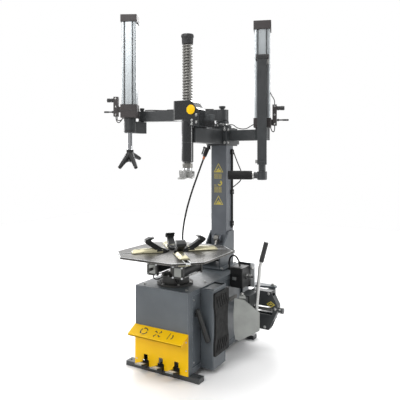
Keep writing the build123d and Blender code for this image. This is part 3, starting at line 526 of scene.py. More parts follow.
# ---------------- mounting shaft, spring and housing
def make_spring():
    bottom, top = low("return_spring").z, high("return_spring").z
    outer = (high("return_spring").x - low("return_spring").x) / 2
    wire, turns, steps, sides = 0.006, 19, 24, 10
    middle_radius = outer - wire
    count = turns * steps
    shape = bmesh.new()
    rings = []
    for k in range(count + 1):
        angle = 2 * pi * k / steps
        z = bottom + wire + (top - bottom - 2 * wire) * k / count
        centre = Vector((SHAFT[0] + middle_radius * cos(angle), SHAFT[1] + middle_radius * sin(angle), z))
        out = Vector((cos(angle), sin(angle), 0))
        rings.append([shape.verts.new(centre + out * wire * cos(2 * pi * s / sides)
            + Z_AXIS * wire * sin(2 * pi * s / sides)) for s in range(sides)])
    bridge(shape, rings)
    spring = place("spring_coil", shape, SPRING, "main_arm", smooth=True)
    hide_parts("return_spring")
    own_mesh(spring)


def make_cap():
    top, bottom = high("shaft_cap").z, low("shaft_cap").z
    radius = (high("shaft_cap").x - low("shaft_cap").x) / 2
    flutes, shape, rings = 30, bmesh.new(), []
    heights = [(radius * 0.84, bottom), (radius * 0.86, bottom + 0.004), (radius * 0.9, top - 0.026),
        (radius * 0.99, top - 0.02), (radius * 0.99, top - 0.011), (radius * 0.93, top - 0.005),
        (radius * 0.6, top - 0.0012)]
    for index, (reach, z) in enumerate(heights):
        depth = 0.0016 if index in (1, 2) else 0
        ring = []
        for k in range(flutes * 4):
            angle = 2 * pi * k / (flutes * 4)
            r = reach - depth * (0.5 - 0.5 * cos(angle * flutes))
            ring.append(shape.verts.new((SHAFT[0] + r * cos(angle), SHAFT[1] + r * sin(angle), z)))
        rings.append(ring)
    bridge(shape, rings)
    cap = place("fluted_cap", shape, PLASTIC, "mount_shaft", smooth=True)
    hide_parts("shaft_cap")


def make_housing_details():
    front = low("shaft_housing").y
    lathe("housing_yellow_cap", [(0, 0), (0.03, 0), (0.03, 0.003), (0.0275, 0.0042), (0, 0.0046)],
        (0.055, front + 0.0003, 1.58), -Y_AXIS, YELLOW, "main_arm")
    sleeve_low, sleeve_radius = low("shaft_housing").z, 0.0384
    profile = [(0.032, sleeve_low), (sleeve_radius, sleeve_low + 0.008), (sleeve_radius, 1.3745)]
    lathe("sleeve_gloss", [(r, z - sleeve_low) for r, z in profile], (*SHAFT, sleeve_low), Z_AXIS, GLOSS,
        "main_arm", steps=48)
    bolt_set("housing_bolts", [((0.06, -0.155, 1.512), -Y_AXIS), ((0.092, -0.155, 1.5), -Y_AXIS),
        ((0.06, -0.155, 1.49), -Y_AXIS), ((0.092, -0.155, 1.545), -Y_AXIS), ((-0.0855, -0.105, 1.545), -X_AXIS),
        ((-0.0855, -0.105, 1.61), -X_AXIS)], 0.0075, "main_arm")
    lathe("housing_top_collar", [(0.024, 0), (0.036, 0), (0.036, 0.004), (0.033, 0.006), (0.024, 0.006)],
        (*SHAFT, high("shaft_housing").z - 0.0005), Z_AXIS, STEEL, "main_arm")


def make_mount_head_details():
    base = Vector((SHAFT[0], SHAFT[1], 1.168))
    bolt_set("mount_head_bolts", [((0.0245, SHAFT[1] - 0.048, 1.182), X_AXIS),
        ((0.0245, SHAFT[1] + 0.006, 1.182), X_AXIS), ((-0.0245, SHAFT[1] - 0.04, 1.182), -X_AXIS),
        ((0.01, SHAFT[1] - 0.0625, 1.182), -Y_AXIS), ((-0.01, SHAFT[1] - 0.0625, 1.182), -Y_AXIS)], 0.006,
        "mount_shaft")
    lathe("mount_head_collar", [(0.0295, 0), (0.0305, 0.002), (0.0305, 0.01), (0.0295, 0.012)], base
        + Z_AXIS * 0.03, Z_AXIS, CHROME, "mount_shaft")


# ---------------- column, head and right arm
def make_column_details():
    front = low("column_head").y + 0.034
    stickers = bmesh.new()

    def mark(outline, x, z):
        add_prism(stickers, outline, (x, front, z), X_AXIS, Z_AXIS, 0.0003)

    def bar(x, z, half_wide, half_high):
        mark(rectangle(half_wide, half_high), x, z)
    for middle_z in (1.2005, 0.9675):
        outer = [(-0.0377, -0.0295), (0.0377, -0.0295), (0, 0.0361)]
        inner = [(x * 0.8, z * 0.8 - 0.0016) for x, z in outer]
        for outline in framed(outer, inner):
            mark(outline, 0, middle_z)
        for x, z, wide, tall in ((-0.01, -0.015, 0.004, 0.008), (0.002, -0.01, 0.004, 0.011),
                (0.012, -0.016, 0.005, 0.005), (0, -0.0225, 0.02, 0.0022)):
            bar(x, middle_z + z, wide, tall)
    for top, rows in ((1.1585, 7), (1.065, 8)):
        for row in range(rows):
            for column in range(2):
                half_wide = 0.016 - 0.0035 * ((row * 3 + column) % 3)
                bar(column * 0.0355 - 0.0355 + half_wide, top - row * 0.0054, half_wide, 0.0009)
    mark(band((0, 0), 0.012, 0.02, -150, 70), 0.01, 1.094)
    mark(band((0, 0), 0.003, 0.008, -60, 150), 0.016, 1.094)
    bar(-0.026, 1.078, 0.009, 0.002)
    place("column_stickers", stickers, STICKER, "column")
    side = high("column_tube").x
    bolt_set("column_pivot_nuts", [((0.0925, 0.377, 0.6), X_AXIS), ((-0.0925, 0.377, 0.6), -X_AXIS)], 0.014,
        "cabinet")
    bolt_set("hose_clip_screws", [((side + 0.011, 0.406, z + 0.017), X_AXIS) for z in (0.78, 1.01, 1.3)], 0.0035,
        "column")
    block("column_weld_strips", [((0, front - 0.0006, 0.742), (0.0605, 0.0008, 0.0035)),
        ((side + 0.0005, 0.377, 0.752), (0.0008, 0.05, 0.003))], COLUMN, "column", bevel=0.0005)


def make_head_details():
    top = 1.49
    front = 0.285
    lathe("head_pivot_knob", [(0, 0), (0.021, 0), (0.022, 0.003), (0.022, 0.01), (0.018, 0.014), (0, 0.016)],
        (PIVOT.x, PIVOT.y, high("column_head").z - 0.0165), Z_AXIS, PLASTIC, "column")
    lathe("head_drum_band", [(0.0465, 0), (0.0475, 0.002), (0.0475, 0.016), (0.0465, 0.018)],
        (PIVOT.x, PIVOT.y, top + 0.014), Z_AXIS, STEEL, "column")
    bolt_set("head_bolts", [((-0.066, front, 1.384), -Y_AXIS), ((0.066, front, 1.384), -Y_AXIS),
        ((-0.066, front, 1.474), -Y_AXIS), ((0.066, front, 1.474), -Y_AXIS), ((0.08, 0.31, 1.384), X_AXIS),
        ((0.08, 0.31, 1.474), X_AXIS), ((-0.06, 0.3, top), Z_AXIS), ((0.06, 0.3, top), Z_AXIS),
        ((-0.06, 0.45, top), Z_AXIS), ((0.06, 0.45, top), Z_AXIS)], 0.0085, "column")
    block("head_clamp_blocks", [((0.0, 0.309, top + 0.014), (0.03, 0.022, 0.014)),
        ((-0.058, 0.372, top + 0.012), (0.01, 0.03, 0.012)), ((0.064, 0.352, top + 0.01), (0.012, 0.026, 0.01))],
        DARK_PAINT_AND_SHADE, "column", bevel=0.003)
    block("head_corner_strip", [((-0.0765, front - 0.001, 1.426), (0.0045, 0.0012, 0.058))], ZINC, "column")
    fittings = bmesh.new()
    for x, y, z, way in ((0.012, 0.2865, top + 0.014, -Y_AXIS), (-0.012, 0.2865, top + 0.014, -Y_AXIS),
            (0.064, 0.352, top + 0.02, Z_AXIS), (-0.058, 0.372, top + 0.024, Z_AXIS)):
        add_lathe(fittings, [(0, 0), (0.007, 0), (0.007, 0.008), (0.0045, 0.009), (0.0045, 0.014), (0, 0.014)],
            (x, y, z), way, 16)
    place("head_fittings", fittings, STEEL, "column", smooth=True)
    hose_mesh("head_hose_a", [(-0.012, 0.272, 1.504), (-0.016, 0.252, 1.506), (-0.04, 0.246, 1.53),
        (-0.062, 0.29, 1.548), (-0.06, 0.352, 1.54), (-0.058, 0.372, 1.527)], 0.0028, "column")
    hose_mesh("head_hose_b", [(0.012, 0.272, 1.504), (0.018, 0.25, 1.508), (0.052, 0.25, 1.532),
        (0.078, 0.3, 1.545), (0.068, 0.345, 1.535), (0.064, 0.352, 1.523)], 0.0028, "column")
    hose_mesh("right_arm_hose", [(0.064, 0.362, 1.512), (0.09, 0.36, 1.52), (0.135, 0.354, 1.484),
        (0.205, 0.348, 1.477), (0.25, 0.348, 1.505), (0.272, 0.352, 1.512)], 0.003, "column")
    hose_mesh("column_side_hose", [(0.064, 0.425, 1.335), (0.074, 0.428, 1.3), (0.1, 0.436, 1.23),
        (0.128, 0.442, 1.165), (0.12, 0.446, 1.11), (0.085, 0.44, 1.08), (0.064, 0.425, 1.06)], 0.0038, "column")


def make_right_details():
    axes = turned_axes(RIGHT_TURN)
    plate_bottom, plate_top = 1.497, 1.642

    def spot(dx, dy, z):
        return turned_point(RIGHT_AXIS, RIGHT_TURN, dx, dy, z)
    bolt_set("right_valve_bolts", [(spot(0.083, -0.0185, z), -axes[1]) for z in (1.508, 1.572, 1.631)], 0.0055,
        "column")
    valve_grip("right_valve_grip", 0.0515, spot(0.099, 0, 1.618), axes[0], "column")
    lever_grip("right_lever_grip", 0.042, spot(0.137, 0, 1.536), axes[0], "right_lever")
    hose_mesh("right_valve_hoses", [spot(0.083, 0.004, plate_bottom), spot(0.084, 0.004, 1.47),
        spot(0.076, 0.002, 1.452), spot(0.062, 0.0, 1.462), spot(0.056, 0.0, 1.484)], 0.0032, "column")
    hose_mesh("right_valve_hose_top", [spot(0.083, 0.004, plate_top), spot(0.084, 0.004, 1.668),
        spot(0.074, 0.002, 1.69), spot(0.062, 0.0, 1.706), spot(0.053, 0.0, 1.728)], 0.003, "column")
    block("post_top_cap", [(spot(0, -0.093, 1.951), (0.0345, 0.0255, 0.0115), axes)], PLASTIC, "right_post",
        bevel=0.002)
    block("post_guide_shoe", [(spot(0.038, -0.08, 1.925), (0.01, 0.012, 0.016), axes),
        (spot(-0.038, -0.08, 1.25), (0.008, 0.012, 0.012), axes)], STEEL, "right_post")
    lathe("roller_collar", [(0.0228, 0), (0.0305, 0.001), (0.0305, 0.012), (0.0228, 0.013)],
        spot(-0.053, -0.093, 1.158), -axes[0], STEEL, "roller_arm")
    lathe("swivel_cap", [(0, 0), (0.0325, 0), (0.0325, 0.003), (0.028, 0.006), (0, 0.007)],
        (POST.x, POST.y, low("roller_arm").z + 0.0005), -Z_AXIS, DARK_PAINT_AND_SHADE, "roller_arm")


# ---------------- left arm
def make_left_details():
    axes = turned_axes(LEFT_TURN)

    def spot(dx, dy, z):
        return turned_point(LEFT_AXIS, LEFT_TURN, dx, dy, z)
    bolt_set("left_valve_bolts", [(spot(-0.101, -0.0225, z), -axes[1]) for z in (1.592, 1.65, 1.71)], 0.0055,
        "left_link")
    valve_grip("left_valve_grip", 0.0495, spot(-0.119, -0.003, 1.698), -axes[0], "left_link")
    lever_grip("left_lever_grip", 0.036, spot(-0.155, -0.003, 1.612), -axes[0], "left_lever")
    for name, start, drop, reach in (("left_valve_hose_a", 0.104, 0.045, 0.07),
            ("left_valve_hose_b", 0.095, 0.03, 0.06)):
        hose_mesh(name, [spot(-start, 0, 1.579), spot(-start, 0, 1.56), spot(-0.092, -0.004, 1.579 - drop),
            spot(-reach, -0.004, 1.58 - drop), spot(-0.052, -0.002, 1.568)], 0.0032, "left_link")
    block("left_block_seam", [(spot(0, 0, 1.616), (0.0606, 0.0606, 0.0012), axes)], PLASTIC, "left_link",
        bevel=0.0004)
    bolt_set("left_cap_screws", [(spot(dx, dy, high("left_cylinder_ends").z - 0.0045), Z_AXIS)
        for dx in (-0.045, 0.045) for dy in (-0.045, 0.045)], 0.0052, "left_link")
    start, end = Vector((PIVOT.x, PIVOT.y, 0)), Vector((ELBOW.x, ELBOW.y, 0))
    way = (end - start).normalized()
    across = Vector((-way.y, way.x, 0))
    top = high("left_arm").z

    def on_arm(fraction, side, z):
        return start.lerp(end, fraction) + across * side + Z_AXIS * z
    hose_mesh("left_arm_hose", [on_arm(0.1, 0.012, top + 0.004), on_arm(0.25, 0.016, top + 0.006),
        on_arm(0.42, 0.006, top + 0.012), on_arm(0.6, 0.004, top + 0.004), on_arm(0.75, 0.008, top + 0.004),
        on_arm(0.9, 0.01, top + 0.01), on_arm(0.95, 0.02, top + 0.006)], 0.004, "left_arm")
    clip_axes = (way, across, Z_AXIS)
    block("left_arm_clips", [(on_arm(0.62, 0.004, top + 0.005), (0.032, 0.012, 0.006), clip_axes),
        (on_arm(0.24, 0.014, top + 0.004), (0.008, 0.01, 0.005), clip_axes)], PLASTIC, "left_arm", bevel=0.001)
    bolt_set("left_arm_screws", [(on_arm(f, -0.035, 1.586), -across) for f in (0.88, 0.93)], 0.0055, "left_arm")
    lathe("elbow_knob", [(0, 0), (0.013, 0), (0.018, 0.004), (0.0185, 0.012), (0.013, 0.018), (0, 0.0185)],
        (ELBOW.x, ELBOW.y, high("left_link").z - 0.019), Z_AXIS, PLASTIC, "left_link")
    link_way = Vector((LEFT_AXIS[0] - ELBOW.x, LEFT_AXIS[1] - ELBOW.y, 0)).normalized()
    link_across = Vector((-link_way.y, link_way.x, 0))
    link_middle = Vector((ELBOW.x, ELBOW.y, 1.501)) + link_way * 0.03
    block("link_side_plate", [(link_middle + link_across * 0.0285, (0.046, 0.039, 0.0008),
        (link_way, Z_AXIS, link_across))], GREY_PLATE, "left_link", bevel=0.0004)
    lathe("rod_gland", [(0.02, 0), (0.03, 0), (0.0305, 0.006), (0.0445, 0.008), (0.0448, 0.02), (0.02, 0.02)],
        (*LEFT_AXIS, low("left_link").z - 0.0005), Z_AXIS, PLASTIC, "left_link", steps=40)


def make_profile_lines():
    """Painted shade: dark strips laid in the grooves down the faces of both square profiles."""
    for node, turn, body in (("left_cylinder", LEFT_TURN, "left_link"), ("right_cylinder", RIGHT_TURN, "column")):
        shape = bmesh.new()
        centre = middle(node)
        half_high = (high(node).z - low(node).z) / 2 - 0.0005
        for quarter in range(4):
            side, out = turned_way(turn + 90 * quarter, 1, 0), turned_way(turn + 90 * quarter, 0, -1)
            for offset in (-0.03, 0.03):
                box(shape, centre + out * 0.0512 + side * offset, (0.003, half_high, 0.0003), (side, Z_AXIS, out))
        place(node + "_groove_shade", shape, DARK_PAINT_AND_SHADE, body)


def make_presser_pads():
    hub = Vector((LEFT_AXIS[0], LEFT_AXIS[1], 1.3))
    shape = bmesh.new()
    tips = []
    for turn, drop in ((-95, 0.096), (-28, 0.096), (85, 0.03)):
        tip = hub + turned_way(turn, 0.108, 0, -drop)
        tips.append(tip)
        way = (tip - hub).normalized()
        profile = [(0, 0.0005), (0.0108, 0.0005), (0.0134, -0.004), (0.014, -0.018), (0.0136, -0.0182)]
        add_lathe(shape, profile, tip, way, 20)
    place("presser_pads", shape, RUBBER, "left_presser", smooth=True)
    webs = bmesh.new()
    for first, second in ((tips[0], tips[1]), (tips[1], tips[2])):
        across, other = (first - hub) * 0.72, (second - hub) * 0.72
        normal = across.cross(other).normalized()
        up = normal.cross(across.normalized())
        corner = (other.dot(across.normalized()), other.dot(up))
        outline = [(0, 0), (across.length, 0), ((across.length + corner[0]) * 0.36, corner[1] * 0.36), corner]
        add_prism(webs, outline, hub - normal * 0.005, across, up, 0.01)
    place("presser_webs", webs, BLACK, "left_presser", bevel=0.001)


# ---------------- turntable and jaws
def make_jaws():
    for number in range(4):
        body = f"jaw_{number + 1}"
        way, side = turned_way(45 + 90 * number, 1, 0), turned_way(45 + 90 * number, 0, -1)

        def spot(reach, offset, rise):
            return TABLE + way * reach + side * offset + Z_AXIS * rise
        slide = bmesh.new()
        rings = []
        for reach, ridge, half_top in ((0.08, 0.029, 0.014), (0.252, 0.021, 0.014), (0.267, 0.009, 0.022)):
            rings.append([slide.verts.new(spot(reach, offset, rise)) for offset,
                rise in ((-0.03, 0.0006), (0.03, 0.0006), (0.03, 0.0046), (half_top, ridge), (-half_top, ridge),
                (-0.03, 0.0046))])
        bridge(slide, rings)
        box(slide, spot(0.18, 0, -0.02), (0.07, 0.034, 0.0065), (way, side, Z_AXIS))
        slide_piece = place(f"slide_{number + 1}", slide, YELLOW_ZINC, body, bevel=0.0012)
        hook = bmesh.new()
        arm = [(0.0525, 0.0006), (0.128, 0.0006), (0.128, 0.02), (0.178, 0.053), (0.186, 0.062), (0.172, 0.078),
            (0.152, 0.078), (0.15, 0.07), (0.094, 0.033), (0.06, 0.018), (0.0525, 0.0145)]
        head = [(0.148, 0.066), (0.176, 0.058), (0.189, 0.062), (0.189, 0.078), (0.158, 0.0925), (0.132, 0.0925),
            (0.136, 0.087), (0.154, 0.078)]
        for outline, half in ((arm, 0.021), (head, 0.0285)):
            add_prism(hook, outline, spot(0, -half, 0), way, Z_AXIS, 2 * half)
        nose = [(0.036, -0.0045), (0.0525, -0.0205), (0.0525, 0.0205), (0.036, 0.0045)]
        add_prism(hook, nose, spot(0, 0, 0.0136), way, side, 0.013)
        for flank in (-1, 1):
            add_prism(hook, [(0.06, 0.0006), (0.122, 0.0006), (0.112, 0.026), (0.074, 0.013)],
                spot(0, flank * 0.025, 0) - side * 0.0034, way, Z_AXIS, 0.0068)
        hook_piece = place(f"hook_{number + 1}", hook, BLACK, body, bevel=0.0018)
        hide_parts(body)
        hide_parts(body)
        bolt_set(f"hook_bolts_{number + 1}", [(spot(0.225, 0, 0.0232), Z_AXIS), (spot(0.072, 0, 0.0225), Z_AXIS)],
            0.0065, body)


def make_table_details():
    half = (high("turntable_plate").x - low("turntable_plate").x) / 2
    clip, grow = 0.131, 0.0006
    bottom, top = low("turntable_plate").z, high("turntable_plate").z

    def octagon(size):
        short = size - clip
        return [(TABLE.x + x, TABLE.y + y) for x, y in ((size, -short), (size, short), (short, size),
            (-short, size), (-size, short), (-size, -short), (-short, -size), (short, -size))]
    rim = bmesh.new()
    loops = []
    for size, z in ((half - 0.0035, top + 0.0003), (half - 0.0008, top + 0.0002),
            (half + grow - 0.0012, top - 0.002), (half + grow - 0.0012, bottom + 0.0015),
            (half - 0.004, bottom - 0.0003)):
        loops.append([rim.verts.new((x, y, z)) for x, y in octagon(size)])
    bridge(rim, loops, closed=False)
    # The rim's near-white colour is partly bright steel and partly a painted highlight along the table edge.
    place("table_rim", rim, BRIGHT_STEEL_AND_HIGHLIGHT, "turntable", slot="table_steel")
    # Painted highlights: bright strips along both edges of each jaw slot.
    slot_highlight_strips = bmesh.new()
    for number in range(4):
        way, side, _ = turned_axes(45 + 90 * number)
        for flank in (-1, 1):
            box(slot_highlight_strips, TABLE + way * 0.205 + side * flank * 0.0155 - Z_AXIS * 0.0001, (0.135, 0.0022, 0.0004),
                (way, side, Z_AXIS))
    place("slot_edge_highlights", slot_highlight_strips, BRIGHT_STEEL_AND_HIGHLIGHT, "turntable", slot="table_steel")
    ribs = bmesh.new()
    for number in range(8):
        way, side, _ = turned_axes(22.5 + 45 * number)
        outline = [(0.066, 0.674), (0.066, bottom - 0.0004), (0.24, bottom - 0.0004), (0.236, 0.676)]
        add_prism(ribs, outline, Vector((TABLE.x, TABLE.y, 0)) + side * 0.003, way, Z_AXIS, 0.006)
    place("table_ribs", ribs, IRON, "turntable", bevel=0.0008)


def make_clamp_details():
    z, offset, link_radius, link_height = 0.602, 0.092, 0.118, 0.6545
    barrels, plates, rods, nuts = bmesh.new(), bmesh.new(), bmesh.new(), bmesh.new()
    for side in (-1, 1):
        x = TABLE.x + side * offset
        add_lathe(barrels, [(0.0344, 0), (0.0346, 0.002), (0.0346, 0.19), (0.0344, 0.192)],
            (x, TABLE.y - 0.096, z), Y_AXIS, 40)
        for end in (-1, 1):
            y = TABLE.y + end * 0.106
            for dx, dz in rectangle(0.031, 0.031):
                if end < 0:
                    add_lathe(rods, [(0.0035, 0), (0.0035, 0.19)], (x + dx, TABLE.y - 0.095, z + dz), Y_AXIS, 12)
                add_lathe(nuts, [(0, 0), (0.0062, 0), (0.0062, 0.005), (0.0035, 0.006), (0.0035, 0.011),
                    (0, 0.011)], (x + dx, y + end * 0.0088, z + dz), Y_AXIS * end, 6)
            box(plates, (x, y, z), (0.024, 0.0096, 0.026))
    place("clamp_barrels", barrels, BLACK, "turntable", smooth=True)
    place("clamp_end_plates", plates, ZINC, "turntable", bevel=0.0008)
    place("clamp_tie_rods", rods, STEEL, "turntable", smooth=True)
    place("clamp_tie_nuts", nuts, BRIGHT_STEEL_AND_HIGHLIGHT, "turntable")
    bolt_set("clamp_link_bolts", [(TABLE + turned_way(turn, link_radius, 0, -0.0478), Z_AXIS)
        for turn in (0, 90, 180, 270)], 0.01, "turntable")
    links = bmesh.new()
    for turn in (0, 90, 180, 270):
        start = turned_point(TABLE, turn, link_radius, 0, link_height)
        end = turned_point(TABLE, turn + 45, 0.18, 0, link_height)
        way = (end - start).normalized()
        side = Vector((-way.y, way.x, 0))
        outline = [(0, -0.013), ((end - start).length, -0.011), ((end - start).length, 0.011), (0, 0.013)]
        add_prism(links, outline, start, way, side, 0.005)
    place("clamp_links", links, ZINC, "turntable", bevel=0.0006)
    for side, name in ((-1, "clamp_hose_a"), (1, "clamp_hose_b")):
        x = TABLE.x + side * offset
        hose_mesh(name, [(x, TABLE.y - 0.1, z - 0.038), (x, TABLE.y - 0.104, z - 0.052),
            (x * 0.85, TABLE.y - 0.096, z - 0.066), (x * 0.6, TABLE.y - 0.08, z - 0.06),
            (x * 0.42, TABLE.y - 0.062, z - 0.046), (x * 0.34, TABLE.y - 0.05, z - 0.044)], 0.004, "turntable")
    flange = [(0.0845, 0), (0.0848, 0.002), (0.0848, 0.04), (0.0845, 0.042)]
    lathe("shaft_flange_skin", flange, (TABLE.x, TABLE.y, 0.5175), Z_AXIS, IRON, "turntable", steps=48)
    bolt_set("shaft_flange_bolts", [(turned_point(TABLE, turn, 0.07, 0, 0.5602), Z_AXIS)
        for turn in range(0, 360, 45)], 0.007, "turntable")


# ---------------- cabinet
def make_cabinet_details():
    top = high("cabinet_shell").z
    flange_bolts = [(turned_point(TABLE, turn, 0.098, 0, top + 0.012), Z_AXIS) for turn in range(15, 375, 60)]
    flange_bolts += [((x, y, top + 0.0002), Z_AXIS) for x in (-0.15, 0.15) for y in (-0.365, -0.145)]
    bolt_set("flange_bolts", flange_bolts, 0.0075, "cabinet")
    bolt_set("base_bolts", [((x, y, top + 0.012), Z_AXIS) for x in (-0.098, 0.098)
        for y in (0.178, 0.285, 0.392)], 0.0095, "cabinet")
    panel = high("side_panels").x
    screws = [((side * panel, y, z), X_AXIS * side) for side in (-1, 1) for y in (-0.345, 0.345)
        for z in (0.085, 0.448)]
    bolt_set("panel_screws", screws, 0.0045, "cabinet")
    cover = low("cabinet_shell").y - 0.0025
    bolt_set("cover_screws", [((x, cover, z), -Y_AXIS) for x in (-0.176, 0.176) for z in (0.222, 0.06)], 0.0042,
        "cabinet")
    seams = bmesh.new()
    for side in (-1, 1):
        for y in (-0.3645, 0.3645):
            box(seams, (side * 0.1903, y, 0.2665), (0.0004, 0.0012, 0.208))
        for z in (0.0565, 0.4765):
            box(seams, (side * 0.1903, 0, z), (0.0004, 0.3645, 0.0012))
    place("panel_edges", seams, GREY, "cabinet")
    # Painted shade: dark strips under the cabinet sides, partly base flanges and partly shade that hides the lit floor
    # seen through the pedal slots.
    block("bottom_flanges_and_shade", [((side * 0.162, -0.03, 0.0291), (0.024, 0.315, 0.0006)) for side in (-1, 1)], DARK_PAINT_AND_SHADE,
        "cabinet", bevel=0.0002)
    shell_front = low("cabinet_shell").y
    # Painted highlights: lighter strips along the cabinet's top front edge and front corner folds.
    fold_highlights = bmesh.new()
    for side in (-1, 1):
        box(fold_highlights, (side * 0.184, shell_front - 0.0004, 0.385), (0.0008, 0.0005, 0.115))
    box(fold_highlights, (0, shell_front - 0.0004, 0.4985), (0.183, 0.0005, 0.0008))
    place("front_fold_highlights", fold_highlights, COLUMN, "cabinet")
    rim = bmesh.new()
    x0, x1, y0, y1, z = 0.1905, 0.2745, -0.2665, -0.1025, high("buffer_box").z
    for y in (y0 + 0.002, y1 - 0.002):
        box(rim, ((x0 + x1) / 2, y, z + 0.004), ((x1 - x0) / 2, 0.002, 0.004))
    for x in (x1 - 0.002, x0 + 0.002):
        box(rim, (x, (y0 + y1) / 2, z + 0.004), (0.002, (y1 - y0) / 2, 0.004))
    place("buffer_tray_rim", rim, GREY, "cabinet", bevel=0.0008)
    # Painted shade: a flat black sheet on the cabinet side where the breaker slot opening lies in shade.
    slot_shade = bmesh.new()
    add_prism(slot_shade, arc_points((0.2185, 0.331), 0.0135, -90, 90, 10) + arc_points((0.1255, 0.331), 0.0135, 90,
        270, 10), (0.1895, 0, 0), Y_AXIS, Z_AXIS, 0.0006)
    place("slot_shadow_plate", slot_shade, INK_AND_SHADE, "cabinet")
    lathe("rod_bellows", [(0.012, 0), (0.034, 0), (0.036, 0.002), (0.03, 0.005), (0.034, 0.008), (0.027, 0.011),
        (0.031, 0.014), (0.012, 0.017)], (0.1865, 0.228, 0.275), X_AXIS, RUBBER, "cabinet", steps=36)
    bolt_set("buffer_pad_screws", [((high("buffer_pad").x - 0.0038, -0.176, z), X_AXIS)
        for z in (0.15, 0.292, 0.434)], 0.005, "cabinet", BLACK)


def make_pictograms():
    fold = Vector((0, low("pedal_cover").y, 0.231))
    up = Vector((0, 0.0695, 0.037)).normalized()
    out = X_AXIS.cross(up)
    centre_line = fold + up * 0.04 + out * 0.0001
    marks, grow = bmesh.new(), 1.35

    def put(outline, x):
        add_prism(marks, [(grow * a, grow * b) for a, b in outline], centre_line + X_AXIS * x, X_AXIS, up, 0.0004)
    for start in (20, 140, 260):
        put(band((0, 0), 0.014, 0.019, start, start + 84), -0.095)
        put([tuple(turned_way(start + turn, reach, 0).xy) for reach, turn in ((0.0115, 82), (0.0215, 82),
            (0.0165, 104))], -0.095)
    for turn in range(4):
        for corners in (((0.006, -0.0022), (0.021, -0.0022), (0.021, 0.0022), (0.006, 0.0022)),
                ((0.016, 0.0022), (0.021, 0.0022), (0.021, 0.0075), (0.018, 0.0075))):
            put([tuple(turned_way(45 + 90 * turn, a, b).xy) for a, b in corners], 0.002)
    put([(-0.014, -0.016), (-0.011, -0.016), (-0.009, 0.018), (-0.012, 0.018)], 0.095)
    put(band((-0.006, 0), 0.0125, 0.017, -48, 48), 0.095)
    place("visor_pictograms", marks, INK_AND_SHADE, "cabinet")
    hem = bmesh.new()
    box(hem, (0, low("pedal_cover").y + 0.0016, 0.2235), (0.1886, 0.0016, 0.0035))
    place("visor_hem", hem, YELLOW, "cabinet", bevel=0.0012)


def make_pedal_details():
    for body in ("turn_pedal", "clamp_pedal", "breaker_pedal"):
        x = middle(body).x
        block(body + "_bracket", [((x + 0.006, -0.427, 0.04), (0.017, 0.008, 0.013)),
            ((x, -0.39, 0.058), (0.012, 0.012, 0.0038))], BLACK, body, bevel=0.0012)
        skin = bmesh.new()
        add_prism(skin, [(-0.438, 0.0541), (-0.4864, 0.0662), (-0.4874, 0.0608), (-0.488, 0.0608),
            (-0.487, 0.0672), (-0.438, 0.055)], (x - 0.0243, 0, 0), Y_AXIS, Z_AXIS, 0.0486)
        place(body + "_pad", skin, ZINC, body)
        treads = [((x, -0.446 - 0.008 * k, 0.057 + 0.002 * k), (0.018, 0.0012, 0.0009)) for k in range(5)]
        block(body + "_treads", treads, BRIGHT_STEEL_AND_HIGHLIGHT, body, bevel=0.0004)


def make_air_unit():
    bracket_axes = (X_AXIS, Z_AXIS, -Y_AXIS)
    block("air_bracket", [((0.296, 0.2494, 0.4805), (0.014, 0.08, 0.0006), bracket_axes),
        ((0.3106, 0.256, 0.4805), (0.0006, 0.0066, 0.0805)), ((0.25, 0.256, 0.5616), (0.06, 0.0066, 0.0006))],
        BRIGHT_STEEL_AND_HIGHLIGHT, "cabinet", bevel=0.0004)
    block("air_box_seams", [((0.2355, 0.1855, 0.47), (0.046, 0.065, 0.001)),
        ((0.2816, 0.15, 0.47), (0.0006, 0.02, 0.04)), ((0.225, 0.1206, 0.5), (0.03, 0.0006, 0.012)),
        ((0.2355, 0.14, 0.5492), (0.028, 0.014, 0.0012))], BLACK, "cabinet", bevel=0.0008)
    block("air_box_clip", [((0.2225, 0.1194, 0.4765), (0.014, 0.0016, 0.011)),
        ((0.2225, 0.118, 0.4765), (0.005, 0.0016, 0.006))], STEEL, "cabinet", bevel=0.0008)
    lathe("air_inlet_fitting", [(0.0155, 0), (0.0185, 0.001), (0.0185, 0.013), (0.0155, 0.014), (0.0155, 0.02),
        (0.0172, 0.021), (0.0172, 0.034), (0.012, 0.037), (0.0085, 0.037)], (0.2812, 0.185, 0.485), X_AXIS, STEEL,
        "cabinet", steps=6, bevel=0.0006)
    lathe("air_branch_fitting", [(0.0085, 0), (0.011, 0.001), (0.011, 0.014), (0.0065, 0.015), (0.0065, 0.026),
        (0, 0.026)], (0.3, 0.249, 0.53), -Y_AXIS, STEEL, "cabinet", steps=6, bevel=0.0005)
    glands = bmesh.new()
    for point, way in (((-0.16, 0.205, 0.503), Z_AXIS), ((0.13, 0.24, 0.503), Z_AXIS),
            ((0.24, 0.172, 0.523), Z_AXIS)):
        add_lathe(glands, [(0.0054, 0), (0.012, 0), (0.012, 0.006), (0.0095, 0.007), (0.0095, 0.013),
            (0.006, 0.015), (0.0054, 0.015)], point, way, 24)
    place("hose_glands", glands, PLASTIC, "cabinet", smooth=True)


